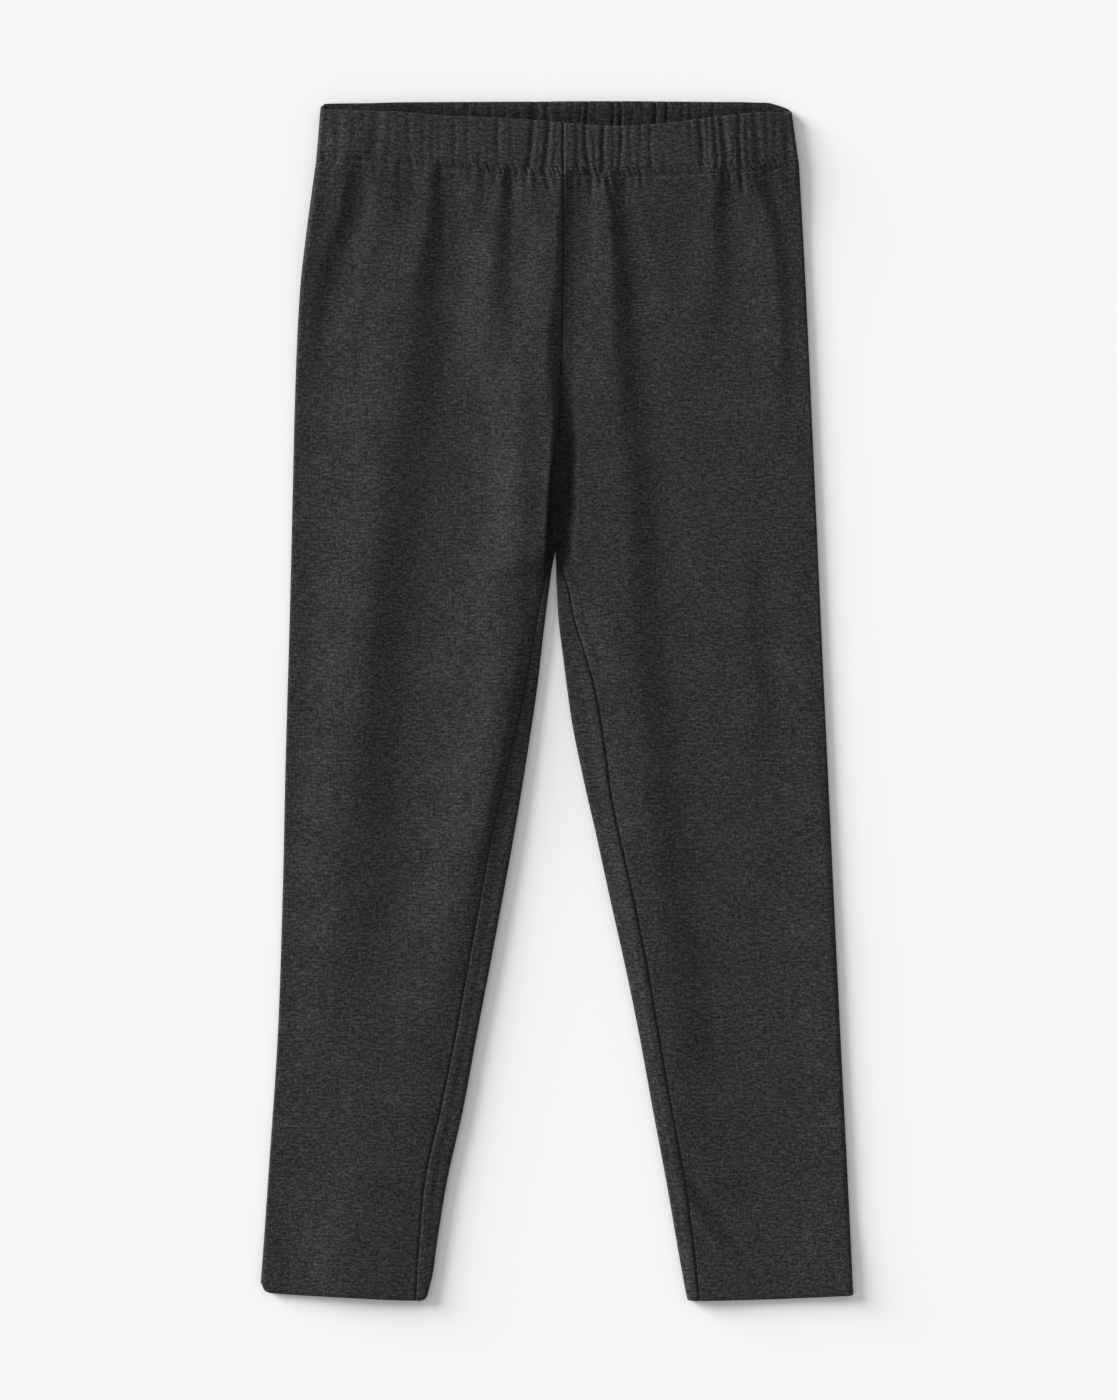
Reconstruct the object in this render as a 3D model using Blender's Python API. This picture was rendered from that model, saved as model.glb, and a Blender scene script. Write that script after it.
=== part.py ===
"""Child's leggings of melange jersey, laid flat on their back with the front up.

Each leg is one panel of cloth, front and back in one, that folds round at the outer side. The two panels
meet at the centre front and centre back seams, and below the crotch each closes on itself along an inseam,
which lies a little way in on the front. The hems are turned up inside. At the waist the cloth is turned down
over an elastic and gathers on it. Lengths are millimetres until a mesh is made. "down" is the distance below
the back waist edge, "x" runs to the wearer's left, and z is the height above the surface that the leggings
lie on.
"""

import math
from collections import namedtuple

import bmesh
import bpy

LENGTH = 624.0
CLOTH = 1.0
SEAM_GAP = 0.3
ELASTIC_THICK = 1.0
HEM_DEPTH = 19.0
CROTCH_DOWN = 237.0
MM = 0.001

# Where the outer fold of each leg lies, on the wearer's right and left, as a distance from the middle.
OuterRow = namedtuple("OuterRow", "down right left")
OUTER_FOLD = (
    OuterRow(32, 125.4, 126.0),
    OuterRow(67, 130.0, 127.8),
    OuterRow(98, 133.3, 129.2),
    OuterRow(145, 135.7, 131.4),
    OuterRow(207, 137.3, 134.2),
    OuterRow(270, 138.8, 137.0),
    OuterRow(343, 140.9, 140.4),
    OuterRow(415, 142.5, 143.8),
    OuterRow(488, 145.1, 147.3),
    OuterRow(561, 150.0, 151.0),
    OuterRow(622, 153.9, 153.9),
)

# Where the centre front and centre back seams lie.
CentreRow = namedtuple("CentreRow", "down x")
CENTRE_SEAM = (
    CentreRow(0, 3.3),
    CentreRow(40, 3.2),
    CentreRow(85, 3.1),
    CentreRow(130, 2.2),
    CentreRow(165, 0.8),
    CentreRow(200, 0.0),
    CentreRow(237, -0.9),
)

# The inner edge of each leg below the crotch, and how far in from that edge the inseam runs on the front.
InnerRow = namedtuple("InnerRow", "down edge inseam")
RIGHT_INNER = (
    InnerRow(237, 1.05, 0.0),
    InnerRow(242, 2.2, 1.4),
    InnerRow(247, 3.2, 2.4),
    InnerRow(270, 6.2, 4.2),
    InnerRow(306, 10.4, 6.6),
    InnerRow(343, 15.9, 9.2),
    InnerRow(379, 21.8, 11.5),
    InnerRow(415, 28.3, 11.6),
    InnerRow(452, 35.2, 11.4),
    InnerRow(488, 42.1, 11.0),
    InnerRow(525, 48.9, 11.8),
    InnerRow(561, 57.0, 11.6),
    InnerRow(597, 62.8, 9.2),
    InnerRow(610, 64.5, 8.4),
    InnerRow(622, 67.4, 6.0),
)
LEFT_INNER = (
    InnerRow(237, -0.75, 0.0),
    InnerRow(242, -0.6, 2.2),
    InnerRow(247, -0.3, 4.2),
    InnerRow(256, 0.1, 6.4),
    InnerRow(270, 0.8, 8.4),
    InnerRow(290, 3.3, 12.2),
    InnerRow(308, 5.6, 14.6),
    InnerRow(325, 8.1, 15.2),
    InnerRow(343, 11.7, 14.2),
    InnerRow(361, 15.6, 12.6),
    InnerRow(379, 19.8, 12.0),
    InnerRow(415, 27.6, 12.3),
    InnerRow(452, 35.9, 11.4),
    InnerRow(488, 43.2, 10.2),
    InnerRow(525, 49.9, 9.9),
    InnerRow(561, 56.7, 9.8),
    InnerRow(597, 63.1, 8.3),
    InnerRow(622, 67.8, 6.2),
)

# The hem edge of each leg, across its width.
HemRow = namedtuple("HemRow", "x down")
HEM_EDGE = (
    HemRow(-154, 618.6),
    HemRow(-110, 622.3),
    HemRow(-70, 624.0),
    HemRow(66, 624.0),
    HemRow(110, 623.4),
    HemRow(154, 621.4),
)

# The waistband across the front and back: its top fold, and the foot where it meets the leg panels.
WaistRow = namedtuple("WaistRow", "x front_top back_top front_foot back_foot")
WAIST = (
    WaistRow(-123, 3.1, 2.9, 31.6, 32.2),
    WaistRow(-106, 4.2, 1.6, 31.4, 31.2),
    WaistRow(-82, 5.8, 1.1, 33.8, 30.8),
    WaistRow(-58, 6.9, 0.7, 35.7, 30.4),
    WaistRow(-34, 8.0, 0.4, 38.2, 30.2),
    WaistRow(-10, 9.9, 0.2, 39.6, 30.0),
    WaistRow(14, 11.9, 0.0, 39.9, 30.0),
    WaistRow(34, 12.6, 0.0, 39.9, 30.0),
    WaistRow(52, 11.6, 0.2, 39.7, 30.1),
    WaistRow(70, 9.2, 0.4, 38.9, 30.3),
    WaistRow(86, 6.2, 0.7, 37.7, 30.6),
    WaistRow(104, 5.2, 1.2, 36.7, 31.2),
    WaistRow(123, 5.6, 4.6, 34.0, 32.4),
)
BAND_NARROWING = 3.6

# Gathers along the waistband's front: where each valley lies, how deep it is as a share of FRONT_RIDGE, and
# how far it leans sideways from the foot of the band to the top.
Gather = namedtuple("Gather", "x depth lean")
FRONT_GATHERS = (
    Gather(-119.0, 0.5, 0.0),
    Gather(-112.8, 0.8, -0.6),
    Gather(-106.5, 0.4, 0.0),
    Gather(-95.7, 0.8, -0.8),
    Gather(-90.0, 0.5, 0.0),
    Gather(-77.0, 0.5, 0.6),
    Gather(-71.5, 0.4, 0.0),
    Gather(-59.3, 0.5, 0.0),
    Gather(-52.5, 0.8, 0.5),
    Gather(-46.0, 0.6, 0.0),
    Gather(-37.4, 0.5, 0.5),
    Gather(-30.7, 0.6, 0.4),
    Gather(-22.4, 0.5, 0.0),
    Gather(-14.0, 0.9, -1.5),
    Gather(-5.5, 0.9, -3.4),
    Gather(9.6, 0.6, 0.0),
    Gather(15.6, 0.9, 2.2),
    Gather(23.9, 0.9, 0.6),
    Gather(31.7, 0.7, -0.5),
    Gather(38.4, 0.6, -0.6),
    Gather(48.4, 0.4, 0.0),
    Gather(64.0, 0.4, 0.0),
    Gather(73.5, 0.6, 3.0),
    Gather(81.6, 0.8, 3.0),
    Gather(88.0, 1.0, 0.5),
    Gather(95.6, 0.8, 1.0),
    Gather(104.5, 1.0, 1.4),
    Gather(111.4, 0.6, 1.4),
    Gather(118.6, 0.7, 0.8),
)
GATHER_HALF_WIDTH = 1.9
FRONT_RIDGE = 1.0
BACK_RIDGE = 0.6
STITCHED_PUCKER = 0.45

# Gathers along the waistband's back: their pitch and the mean of their depths, and how far each wanders.
BACK_GATHER_PITCH = 6.2
BACK_GATHER_WANDER = 1.5
BACK_GATHER_DEPTH = 0.7
BACK_GATHER_SPREAD = 0.3
WANDER_TURN = 2.4
SPREAD_TURN = 1.7

# Folds in the front of the legs. Each has its path, half width and depth. A fold that starts at the
# waistband is full there but narrower, and every fold dies away over its last stretch.
Fold = namedtuple("Fold", "path half_width depth from_waist")
LONG_FOLDS = (
    Fold(((38, -66), (78, -65), (119, -67), (155, -69), (207, -76), (260, -84), (312, -88), (364, -90),
          (415, -93), (467, -97), (540, -106)), 13, 1.7, True),
    Fold(((40, 30), (60, 32.6), (78, 34), (119, 38), (166, 43), (218, 44), (270, 48), (312, 51), (364, 54),
          (415, 60), (490, 67)), 9, 1.6, True),
    Fold(((38, -27), (78, -28), (128, -30)), 4.5, 1.4, True),
    Fold(((34, -107), (59, -109), (83, -115), (112, -124)), 5.5, 1.4, True),
    Fold(((36, 87), (59, 86), (104, 84), (150, 80)), 6, 1.3, True),
    Fold(((36, 109), (62, 116), (104, 120), (146, 121)), 6, 1.3, True),
    Fold(((40, 10.2), (78, 9.8), (114, 8.8), (156, 7.6), (200, 7.0)), 4.5, 1.3, True),
    Fold(((200, 107), (240, 107), (322, 107), (356, 108)), 10, 0.8, False),
    Fold(((262, 92), (300, 93), (360, 95)), 8, 0.5, False),
    Fold(((560, 70), (575, 76), (597, 91), (606, 98)), 6, 0.8, False),
)
FADING_SHARE = 0.55
COMING_SHARE = 0.35
NARROW_SHARE = 0.45
NARROW_REACH = 60.0

# Short gathers below the waistband, between the long folds.
Pucker = namedtuple("Pucker", "x reach depth half_width drift")
PUCKERS = (
    Pucker(-118.0, 14, 0.9, 3.0, -3),
    Pucker(-94.6, 16, 0.8, 3.2, 0),
    Pucker(-83.2, 18, 0.6, 3.0, 0),
    Pucker(-53.0, 16, 0.7, 2.8, 0),
    Pucker(-45.5, 13, 0.7, 2.6, 1),
    Pucker(-37.4, 13, 0.6, 2.6, 0),
    Pucker(-18.2, 18, 0.9, 3.0, 6),
    Pucker(-6.5, 18, 0.9, 3.0, 5),
    Pucker(16.1, 15, 0.8, 2.6, 0),
    Pucker(23.0, 26, 1.1, 3.0, -1),
    Pucker(39.5, 20, 0.8, 3.0, 3),
    Pucker(47.0, 13, 0.5, 2.6, 1),
    Pucker(74.5, 15, 0.7, 2.6, 0),
    Pucker(81.0, 32, 0.9, 2.6, 1),
    Pucker(94.1, 28, 0.9, 2.8, 4),
    Pucker(102.5, 24, 0.9, 3.0, 6),
    Pucker(118.6, 15, 0.8, 3.0, 5),
)

# Heights of the leg's outer face above the surface: the front between its folds, just below the waistband,
# at the hem, the lowest and highest it may be, and the folded edges along the leg and at the hem.
LOFT = 4.8
FOOT_HEIGHT = 5.2
HEM_HEIGHT = 5.3
LOWEST_FRONT = 2 * CLOTH + 0.7
HIGHEST_FRONT = 2 * CLOTH + 3.8
EDGE_HEIGHT = 3.0
HEM_EDGE_HEIGHT = 4 * CLOTH + 2 * SEAM_GAP + 0.6

# How far below the waistband each of those changes is complete: the stitched cloth opening into its gathers,
# the front and the outer fold coming down to the leg's heights, and the groove at the centre seam deepening.
GATHERS_OPEN = 9.0
FRONT_SETTLES = 30.0
EDGE_SETTLES = 40.0
GROOVE_STARTS = 6.0
GROOVE_SETTLES = 120.0

# Distances above the bottom where the front and the edges begin to rise over the turned-up hem, and the
# lengths that they rise in.
HEM_RISE_TOP = 3.2 * HEM_DEPTH
HEM_RISE_LENGTH = 1.6 * HEM_DEPTH
HEM_EDGE_RISE_TOP = 2.6 * HEM_DEPTH
HEM_EDGE_RISE_LENGTH = 1.4 * HEM_DEPTH

# How the front comes down to its edges: the width of the slope at the outer fold and, at the waist and at
# the crotch, beside the centre seam, with the stretch in which that one widens; the corner where it turns
# into the seam, how far down its lip reaches, and the length in which the back's end curls up into the inner
# edge.
OUTER_SLOPE = 14.0
SEAM_SLOPE_AT_WAIST = 3.0
SEAM_SLOPE_AT_CROTCH = 7.0
SEAM_SLOPE_TOP = 90.0
SEAM_SLOPE_LENGTH = 110.0
SEAM_ROUND = 1.2
LIP_DEPTH = 2.2
LIP_FOOT = 1.5
CURL_LENGTH = 16.0

# Heights in the waistband, of the elastic's middle line in the back and in the front, and at the stitched
# foot.
BACK_MIDDLE = 2.0
FRONT_MIDDLE = 6.75
BACK_MIDDLE_AT_FOOT = 1.15
FRONT_MIDDLE_AT_FOOT = 4.05
FOOT_EDGE_HEIGHT = FRONT_MIDDLE_AT_FOOT + BACK_MIDDLE_AT_FOOT

# Half thicknesses of the waistband's cloth and of the slot in it, at the elastic and at the stitched foot.
ELASTIC_ROOM = ELASTIC_THICK / 2 + SEAM_GAP
BAND_HALF = ELASTIC_ROOM + CLOTH
FOOT_ROOM = SEAM_GAP / 2
FOOT_HALF = FOOT_ROOM + CLOTH

# Shares of the way up the waistband: the end of the stitched foot, the middle, the slot's top and the
# shoulder where the top fold begins. The elastic keeps clear of the slot's ends. The top fold is rounded by
# easing the cloth inwards at its shoulders.
PINCHED = 0.22
MIDWAY = 0.55
SLOT_TOP = 0.93
SHOULDER = 0.965
ELASTIC_CLEARANCE = 0.012
FOLD_EASE = 0.3 * CLOTH

# Rows of the leg panel's wall from the waistband down, before the waist and hem lines bend them. They lie
# closest at the crotch, where the inseam starts.
PANEL_TOP = 32.4
NOMINAL_HEM = 622.0
HEM_TOP = NOMINAL_HEM - HEM_DEPTH
HEM_CREASE = NOMINAL_HEM - 7.0
PANEL_ROWS = (
    (PANEL_TOP, 38, 47, 62, 88, 126, 172, 208, 226)
    + (CROTCH_DOWN, 239, 242, 247, 256, 270, 292)
    + (330, 392, 456, 516, 566, HEM_TOP, HEM_CREASE)
)
TOP_BEND = 78.0
HEM_BEND = 60.0

# How many columns of points each stretch of a panel's section has, from its front seam edge to its back one.
# The first one reaches past the edge by a share of its height, and by no less than a least width. The last
# stretches also have the least width that they keep where the leg has no inner fold.
TURN_COLUMNS = 4
TURN_SHARE = 1.3
TURN_LEAST = 3.0
BETWEEN_PUCKERS = 2
OUTER_UPPER_COLUMNS = 3
OUTER_LOWER_COLUMNS = 2
BACK_COLUMNS = 3
Stretch = namedtuple("Stretch", "least columns")
INNER_STRETCHES = (Stretch(5.0, 1), Stretch(1.0, 2), Stretch(0.8, 2), Stretch(0.6, 2))
SIDE_FOLD_COLUMNS = 6
ELASTIC_COLUMNS = 14

# Fine points of a section's outline, from which its columns are taken: along the front, the back and a curl.
# A column on a gather stands no closer than these shares to the end of its stretch.
FRONT_POINTS = 150
BACK_POINTS = 60
EDGE_CURL_POINTS = 20
BACK_CURL_POINTS = 12
CLOSEST_ON_PANEL = 0.03
CLOSEST_ON_BAND = 0.02


def through(points, at):
    """The smooth curve through (place, value) pairs at one place, held level past both ends."""
    if at <= points[0][0]:
        return points[0][1]
    if at >= points[-1][0]:
        return points[-1][1]
    k = next(i for i in range(len(points) - 1) if points[i + 1][0] >= at)
    (x0, y0), (x1, y1) = points[k], points[k + 1]
    before = points[k - 1] if k else (2 * x0 - x1, 2 * y0 - y1)
    after = points[k + 2] if k + 2 < len(points) else (2 * x1 - x0, 2 * y1 - y0)
    slope0 = (y1 - before[1]) / (x1 - before[0])
    slope1 = (after[1] - y0) / (after[0] - x0)
    span = x1 - x0
    t = (at - x0) / span
    return (
        y0 * (1 + 2 * t) * (1 - t) ** 2
        + slope0 * span * t * (1 - t) ** 2
        + y1 * t * t * (3 - 2 * t)
        - slope1 * span * t * t * (1 - t)
    )


def column(rows, place, value):
    """Two named columns of a table as (place, value) pairs."""
    return [(getattr(row, place), getattr(row, value)) for row in rows]


def ease(t):
    """0 to 1, smoothly, as t goes from 0 to 1."""
    t = min(max(t, 0.0), 1.0)
    return t * t * (3 - 2 * t)


def mix(a, b, share):
    """The value this share of the way from a to b."""
    return a + (b - a) * share


def steps(start, end, count):
    """Evenly spaced values from start to just before end."""
    return [mix(start, end, k / count) for k in range(count)]


def valley(distance, half_width):
    """1 on a valley's line, dying away to each side."""
    return math.exp(-((distance / half_width) ** 2))


FRONT_TOP = column(WAIST, "x", "front_top")
BACK_TOP = column(WAIST, "x", "back_top")
FRONT_FOOT = column(WAIST, "x", "front_foot")
BACK_FOOT = column(WAIST, "x", "back_foot")
HEM_LINE = column(HEM_EDGE, "x", "down")
CENTRE_LINE = column(CENTRE_SEAM, "down", "x")
OUTER_LINES = {-1: column(OUTER_FOLD, "down", "right"), 1: column(OUTER_FOLD, "down", "left")}
INNER_TABLES = {-1: RIGHT_INNER, 1: LEFT_INNER}
INNER_LINES = {side: column(rows, "down", "edge") for side, rows in INNER_TABLES.items()}
INSEAM_LINES = {side: column(rows, "down", "inseam") for side, rows in INNER_TABLES.items()}


def fold_level(fold, down):
    """How much of a fold's depth it has at this distance down."""
    start, end = fold.path[0][0], fold.path[-1][0]
    reach = end - start
    fading = ease((end - down) / (FADING_SHARE * reach))
    if fold.from_waist:
        return fading
    return fading * ease((down - start) / (COMING_SHARE * reach))


def front_height(x, down):
    """Height of the front's cloth above the surface, away from the edges."""
    below = down - through(FRONT_FOOT, x)
    height = mix(FOOT_HEIGHT + STITCHED_PUCKER, LOFT, ease(below / FRONT_SETTLES))
    height = mix(height, HEM_HEIGHT, ease((down - (LENGTH - HEM_RISE_TOP)) / HEM_RISE_LENGTH))
    full = ease(below / GATHERS_OPEN)
    for fold in LONG_FOLDS:
        level = fold_level(fold, down)
        if level > 0:
            depth = mix(STITCHED_PUCKER, fold.depth, full) if fold.from_waist else fold.depth
            spread = mix(NARROW_SHARE, 1, ease(below / NARROW_REACH)) if fold.from_waist else 1
            height -= level * depth * valley(x - through(fold.path, down), fold.half_width * spread)
    for pucker in PUCKERS:
        level = 1 - ease(below / pucker.reach)
        if level > 0:
            line = pucker.x + pucker.drift * max(below, 0) / pucker.reach
            depth = mix(STITCHED_PUCKER, pucker.depth, full)
            height -= level * depth * valley(x - line, pucker.half_width)
    return min(max(height, LOWEST_FRONT), HIGHEST_FRONT)


class Panel:
    """One leg panel. u is the distance from the garment's middle towards this leg's outer fold."""

    def __init__(self, side):
        self.side = side

    def inner(self, down):
        """u of the centre seam's edge, and below the crotch of the leg's inner edge."""
        if down < CROTCH_DOWN:
            return self.side * through(CENTRE_LINE, down) + SEAM_GAP / 2
        return through(INNER_LINES[self.side], down)

    def outer(self, down):
        """u of the outer fold."""
        return through(OUTER_LINES[self.side], down)

    def edge_height(self, down):
        """Height of the outer fold, and of the inner edge below the crotch."""
        waist = mix(FOOT_EDGE_HEIGHT, EDGE_HEIGHT, ease((down - PANEL_TOP) / EDGE_SETTLES))
        hem = ease((down - (LENGTH - HEM_EDGE_RISE_TOP)) / HEM_EDGE_RISE_LENGTH)
        return mix(waist, HEM_EDGE_HEIGHT, hem)

    def groove_height(self, down):
        """Height of the cloth where it turns down into the centre front seam, or round the inner edge."""
        if down >= CROTCH_DOWN:
            return self.edge_height(down)
        return mix(FOOT_HEIGHT, EDGE_HEIGHT, ease((down - PANEL_TOP - GROOVE_STARTS) / GROOVE_SETTLES))

    def groove_slope(self, down):
        """Width over which the front comes down to the centre seam or the inner edge."""
        widening = ease((down - SEAM_SLOPE_TOP) / SEAM_SLOPE_LENGTH)
        return mix(SEAM_SLOPE_AT_WAIST, SEAM_SLOPE_AT_CROTCH, widening)

    def bend(self, x, down, frontness):
        """A row's distance down at this point, once the waist and hem lines have bent it."""
        foot = mix(through(BACK_FOOT, x), through(FRONT_FOOT, x), frontness) + SEAM_GAP
        down_here = down + (foot - PANEL_TOP) * max(0.0, 1 - (down - PANEL_TOP) / TOP_BEND)
        hem_share = max(0.0, (down - (NOMINAL_HEM - HEM_BEND)) / HEM_BEND)
        return down_here + (through(HEM_LINE, x) - NOMINAL_HEM) * hem_share

    def top_height(self, u, down):
        """Height of the front between the inner edge and the outer fold."""
        x = self.side * u
        d, e = u - self.inner(down), self.outer(down) - u
        height = front_height(x, self.bend(x, down, 1.0))
        groove, edge = self.groove_height(down), self.edge_height(down)
        z = height
        z -= (height - groove) * max(0.0, 1 - d / self.groove_slope(down)) ** 2
        z -= (height - edge) * max(0.0, 1 - e / OUTER_SLOPE) ** 2
        corner = SEAM_ROUND if down < CROTCH_DOWN else edge / 2
        for distance, radius in ((d, corner), (e, edge / 2)):
            if distance < radius:
                z -= radius * (1 - math.sqrt(max(0.0, 1 - (1 - distance / radius) ** 2)))
        return z

    def front_path(self, down):
        """Fine points of the front, from the foot of its inner turn to the outer fold's furthest point."""
        inner, outer = self.inner(down), self.outer(down)
        radius = self.edge_height(down) / 2
        foot = max(self.groove_height(down) - LIP_DEPTH, LIP_FOOT) if down < CROTCH_DOWN else radius
        curl = [radius * (1 - math.cos(angle)) for angle in steps(0, math.pi / 2, EDGE_CURL_POINTS)]
        places = [inner + c for c in curl]
        places += steps(inner + radius, outer - radius, FRONT_POINTS)
        places += [outer - radius, *(outer - c for c in reversed(curl))]
        points = [(u, self.top_height(u, down)) for u in places]
        if points[0][1] > foot:
            points.insert(0, (inner, foot))
        return points

    def back_path(self, down):
        """Fine points from the outer fold's furthest point under to the back's end at the centre back seam
        or, below the crotch, round the inner edge to the foot of the front's turn."""
        outer, inner = self.outer(down), self.inner(down)
        radius = self.edge_height(down) / 2
        rising = LIP_FOOT if down < CROTCH_DOWN else radius
        curl = math.pi / 2 * ease((down - CROTCH_DOWN + CURL_LENGTH) / CURL_LENGTH)
        end = inner + rising * math.sin(curl)
        points = [
            (outer - radius * (1 - math.cos(angle)), radius * (1 - math.sin(angle)))
            for angle in steps(0, math.pi / 2, BACK_CURL_POINTS)
        ]
        points += [(u, 0.0) for u in steps(outer - radius, end, BACK_POINTS)]
        points += [
            (end - rising * math.sin(angle), rising * (1 - math.cos(angle)))
            for angle in steps(0, curl, BACK_CURL_POINTS) + [curl]
        ]
        return points

    def inseam_run(self, down):
        """Length of cloth between the inner edge's furthest point and the inseam, along the front."""
        radius = self.edge_height(down) / 2
        offset = through(INSEAM_LINES[self.side], down)
        if offset < radius:
            return radius * math.acos(1 - max(offset, 0.0) / radius)
        return math.pi / 2 * radius + offset - radius


COINCIDENT = 1e-4


class Contour:
    """A run of fine points that can be asked for its place and outward normal at any distance along it."""

    def __init__(self, points):
        self.points = [points[0]]
        self.along = [0.0]
        for p in points[1:]:
            step = math.dist(p, self.points[-1])
            if step > COINCIDENT:
                self.points.append(p)
                self.along.append(self.along[-1] + step)
        self.length = self.along[-1]

    def at(self, s):
        s = min(max(s, 0.0), self.length)
        k = next((i for i in range(1, len(self.along)) if self.along[i] >= s), len(self.along) - 1)
        t = (s - self.along[k - 1]) / (self.along[k] - self.along[k - 1])
        a, b = self.points[k - 1], self.points[k]
        return mix(a[0], b[0], t), mix(a[1], b[1], t)

    def normal(self, s, reach=0.25):
        """Unit normal to the left of the line's direction."""
        a, b = self.at(s - reach), self.at(s + reach)
        length = math.dist(a, b)
        return -(b[1] - a[1]) / length, (b[0] - a[0]) / length


def pucker_shares(side):
    """Shares of the way from the centre front to the outer fold at which the front has its columns: one on
    each valley at the waist, and the rest between them."""
    lines = [fold.path[0][1] for fold in LONG_FOLDS if fold.from_waist] + [pucker.x for pucker in PUCKERS]
    inner, outer = side * CENTRE_SEAM[1].x, OUTER_FOLD[0].right
    shares = sorted((side * x - inner) / (outer - inner) for x in lines)
    shares = [share for share in shares if CLOSEST_ON_PANEL < share < 1 - CLOSEST_ON_PANEL]
    shares = [0.0, *shares, 1.0]
    found = []
    for a, b in zip(shares, shares[1:]):
        found += steps(a, b, BETWEEN_PUCKERS)
    return found + [1.0]


def column_places(panel, down, front, back, shares):
    """Distances along one section, from the front seam edge round to the back one, of every column. A
    distance below 0 is on the front, counted back from the outer fold, so that both parts share one zero
    there."""
    seam = panel.inseam_run(down)
    gap = SEAM_GAP / 2 if down >= CROTCH_DOWN else 0.0
    quarter = math.pi / 4 * panel.edge_height(down)
    first = seam + gap
    turned = first + max(TURN_SHARE * panel.edge_height(down) - seam, TURN_LEAST)
    fold = front.length - quarter
    on_front = steps(first, turned, TURN_COLUMNS)
    on_front += [mix(turned, fold, share) for share in shares]
    on_front += steps(fold, front.length, OUTER_UPPER_COLUMNS)[1:]
    end = back.length + seam - gap
    widths = (INNER_STRETCHES[0].least, quarter, min(quarter, seam), max(seam - quarter, 0.0))
    knots = [end]
    for width, stretch in zip(reversed(widths), reversed(INNER_STRETCHES)):
        knots.insert(0, knots[0] - max(width, stretch.least))
    on_back = steps(0.0, quarter, OUTER_LOWER_COLUMNS) + steps(quarter, knots[0], BACK_COLUMNS)
    for a, b, stretch in zip(knots, knots[1:], INNER_STRETCHES):
        on_back += steps(a, b, stretch.columns)
    return [place - front.length for place in on_front] + on_back + [end]


def panel_section(panel, down, shares):
    """(u, z, outward normal's u and z, frontness) of each column in one section of a leg panel."""
    front, back = Contour(panel.front_path(down)), Contour(panel.back_path(down))
    section = []
    for place in column_places(panel, down, front, back, shares):
        if place < 0:
            line, s, frontness = front, front.length + place, 1.0
        elif place <= back.length:
            line, s, frontness = back, place, 0.0
        else:
            line, s, frontness = front, place - back.length, 1.0
        (u, z), (nu, nz) = line.at(s), line.normal(s)
        if abs(place) < math.pi / 4 * panel.edge_height(down):
            frontness = z / panel.edge_height(down)
        section.append((u, z, nu, nz, frontness))
    return section


def panel_points(panel, down, section, depth, lower=0.0):
    """A row of the wall's points, at a depth inside the outer face. lower moves the row along the leg."""
    row = []
    for u, z, nu, nz, frontness in section:
        x = panel.side * (u - nu * depth)
        row.append((x, panel.bend(panel.side * u, down, frontness) + lower, z - nz * depth))
    return row


def sheet(mesh, rows):
    """A sheet of faces through rows of (x, down, z) points."""
    grid = bmesh.ops.create_grid(mesh, x_segments=len(rows[0]) - 1, y_segments=len(rows) - 1, size=1)
    for vert, (x, down, z) in zip(grid["verts"], (point for row in rows for point in row)):
        vert.co = (x * MM, (LENGTH / 2 - down) * MM, z * MM)


def body(name, mesh, material):
    """A finished mesh as an object, with its faces pointing out and its folds smooth."""
    bmesh.ops.recalc_face_normals(mesh, faces=mesh.faces)
    data = bpy.data.meshes.new(name)
    mesh.to_mesh(data)
    mesh.free()
    data.materials.append(material)
    data.shade_smooth()
    data.set_sharp_from_angle(angle=math.radians(50))
    obj = bpy.data.objects.new(name, data)
    bpy.context.scene.collection.objects.link(obj)
    return obj


def wall_between(name, outer_rows, inner_rows, material):
    """A wall of cloth between two faces, each given as rows of points, closed along its edges."""
    mesh = bmesh.new()
    sheet(mesh, outer_rows)
    sheet(mesh, inner_rows)
    bmesh.ops.bridge_loops(mesh, edges=[edge for edge in mesh.edges if edge.is_boundary])
    return body(name, mesh, material)


def leg_panel(name, side, material):
    """A leg's one panel of cloth from the waistband's foot to the hem, which turns up inside."""
    panel = Panel(side)
    shares = pucker_shares(side)
    outer_rows, inner_rows = [], []
    for down in PANEL_ROWS:
        section = panel_section(panel, down, shares)
        outer_rows.append(panel_points(panel, down, section, 0.0))
        inner_rows.append(panel_points(panel, down, section, CLOTH))
    turn_up = CLOTH + SEAM_GAP
    fold = (CLOTH + turn_up) / 2
    hem = panel_section(panel, NOMINAL_HEM, shares)
    for lower, outer_depth, inner_lower, inner_depth in (
        (-fold, 0.0, -fold, CLOTH),
        (0.0, fold, -CLOTH, CLOTH + SEAM_GAP / 2),
        (-fold, turn_up + CLOTH, -fold, turn_up),
    ):
        outer_rows.append(panel_points(panel, NOMINAL_HEM, hem, outer_depth, lower))
        inner_rows.append(panel_points(panel, NOMINAL_HEM, hem, inner_depth, inner_lower))
    for down in (HEM_CREASE, HEM_TOP):
        section = panel_section(panel, down, shares)
        outer_rows.append(panel_points(panel, down, section, turn_up + CLOTH))
        inner_rows.append(panel_points(panel, down, section, turn_up))
    return wall_between(name, outer_rows, inner_rows, material)


def back_gathers():
    """Gathers along the back of the waistband, at a pitch and a depth that both wander."""
    found = []
    for k in range(round(2 * WAIST[-1].x / BACK_GATHER_PITCH)):
        x = WAIST[0].x + (k + 0.5) * BACK_GATHER_PITCH + BACK_GATHER_WANDER * math.sin(WANDER_TURN * k)
        depth = BACK_GATHER_DEPTH + BACK_GATHER_SPREAD * math.sin(SPREAD_TURN * k + 0.6)
        found.append(Gather(x, depth, 0.0))
    return found


BACK_GATHERS = back_gathers()


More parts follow.
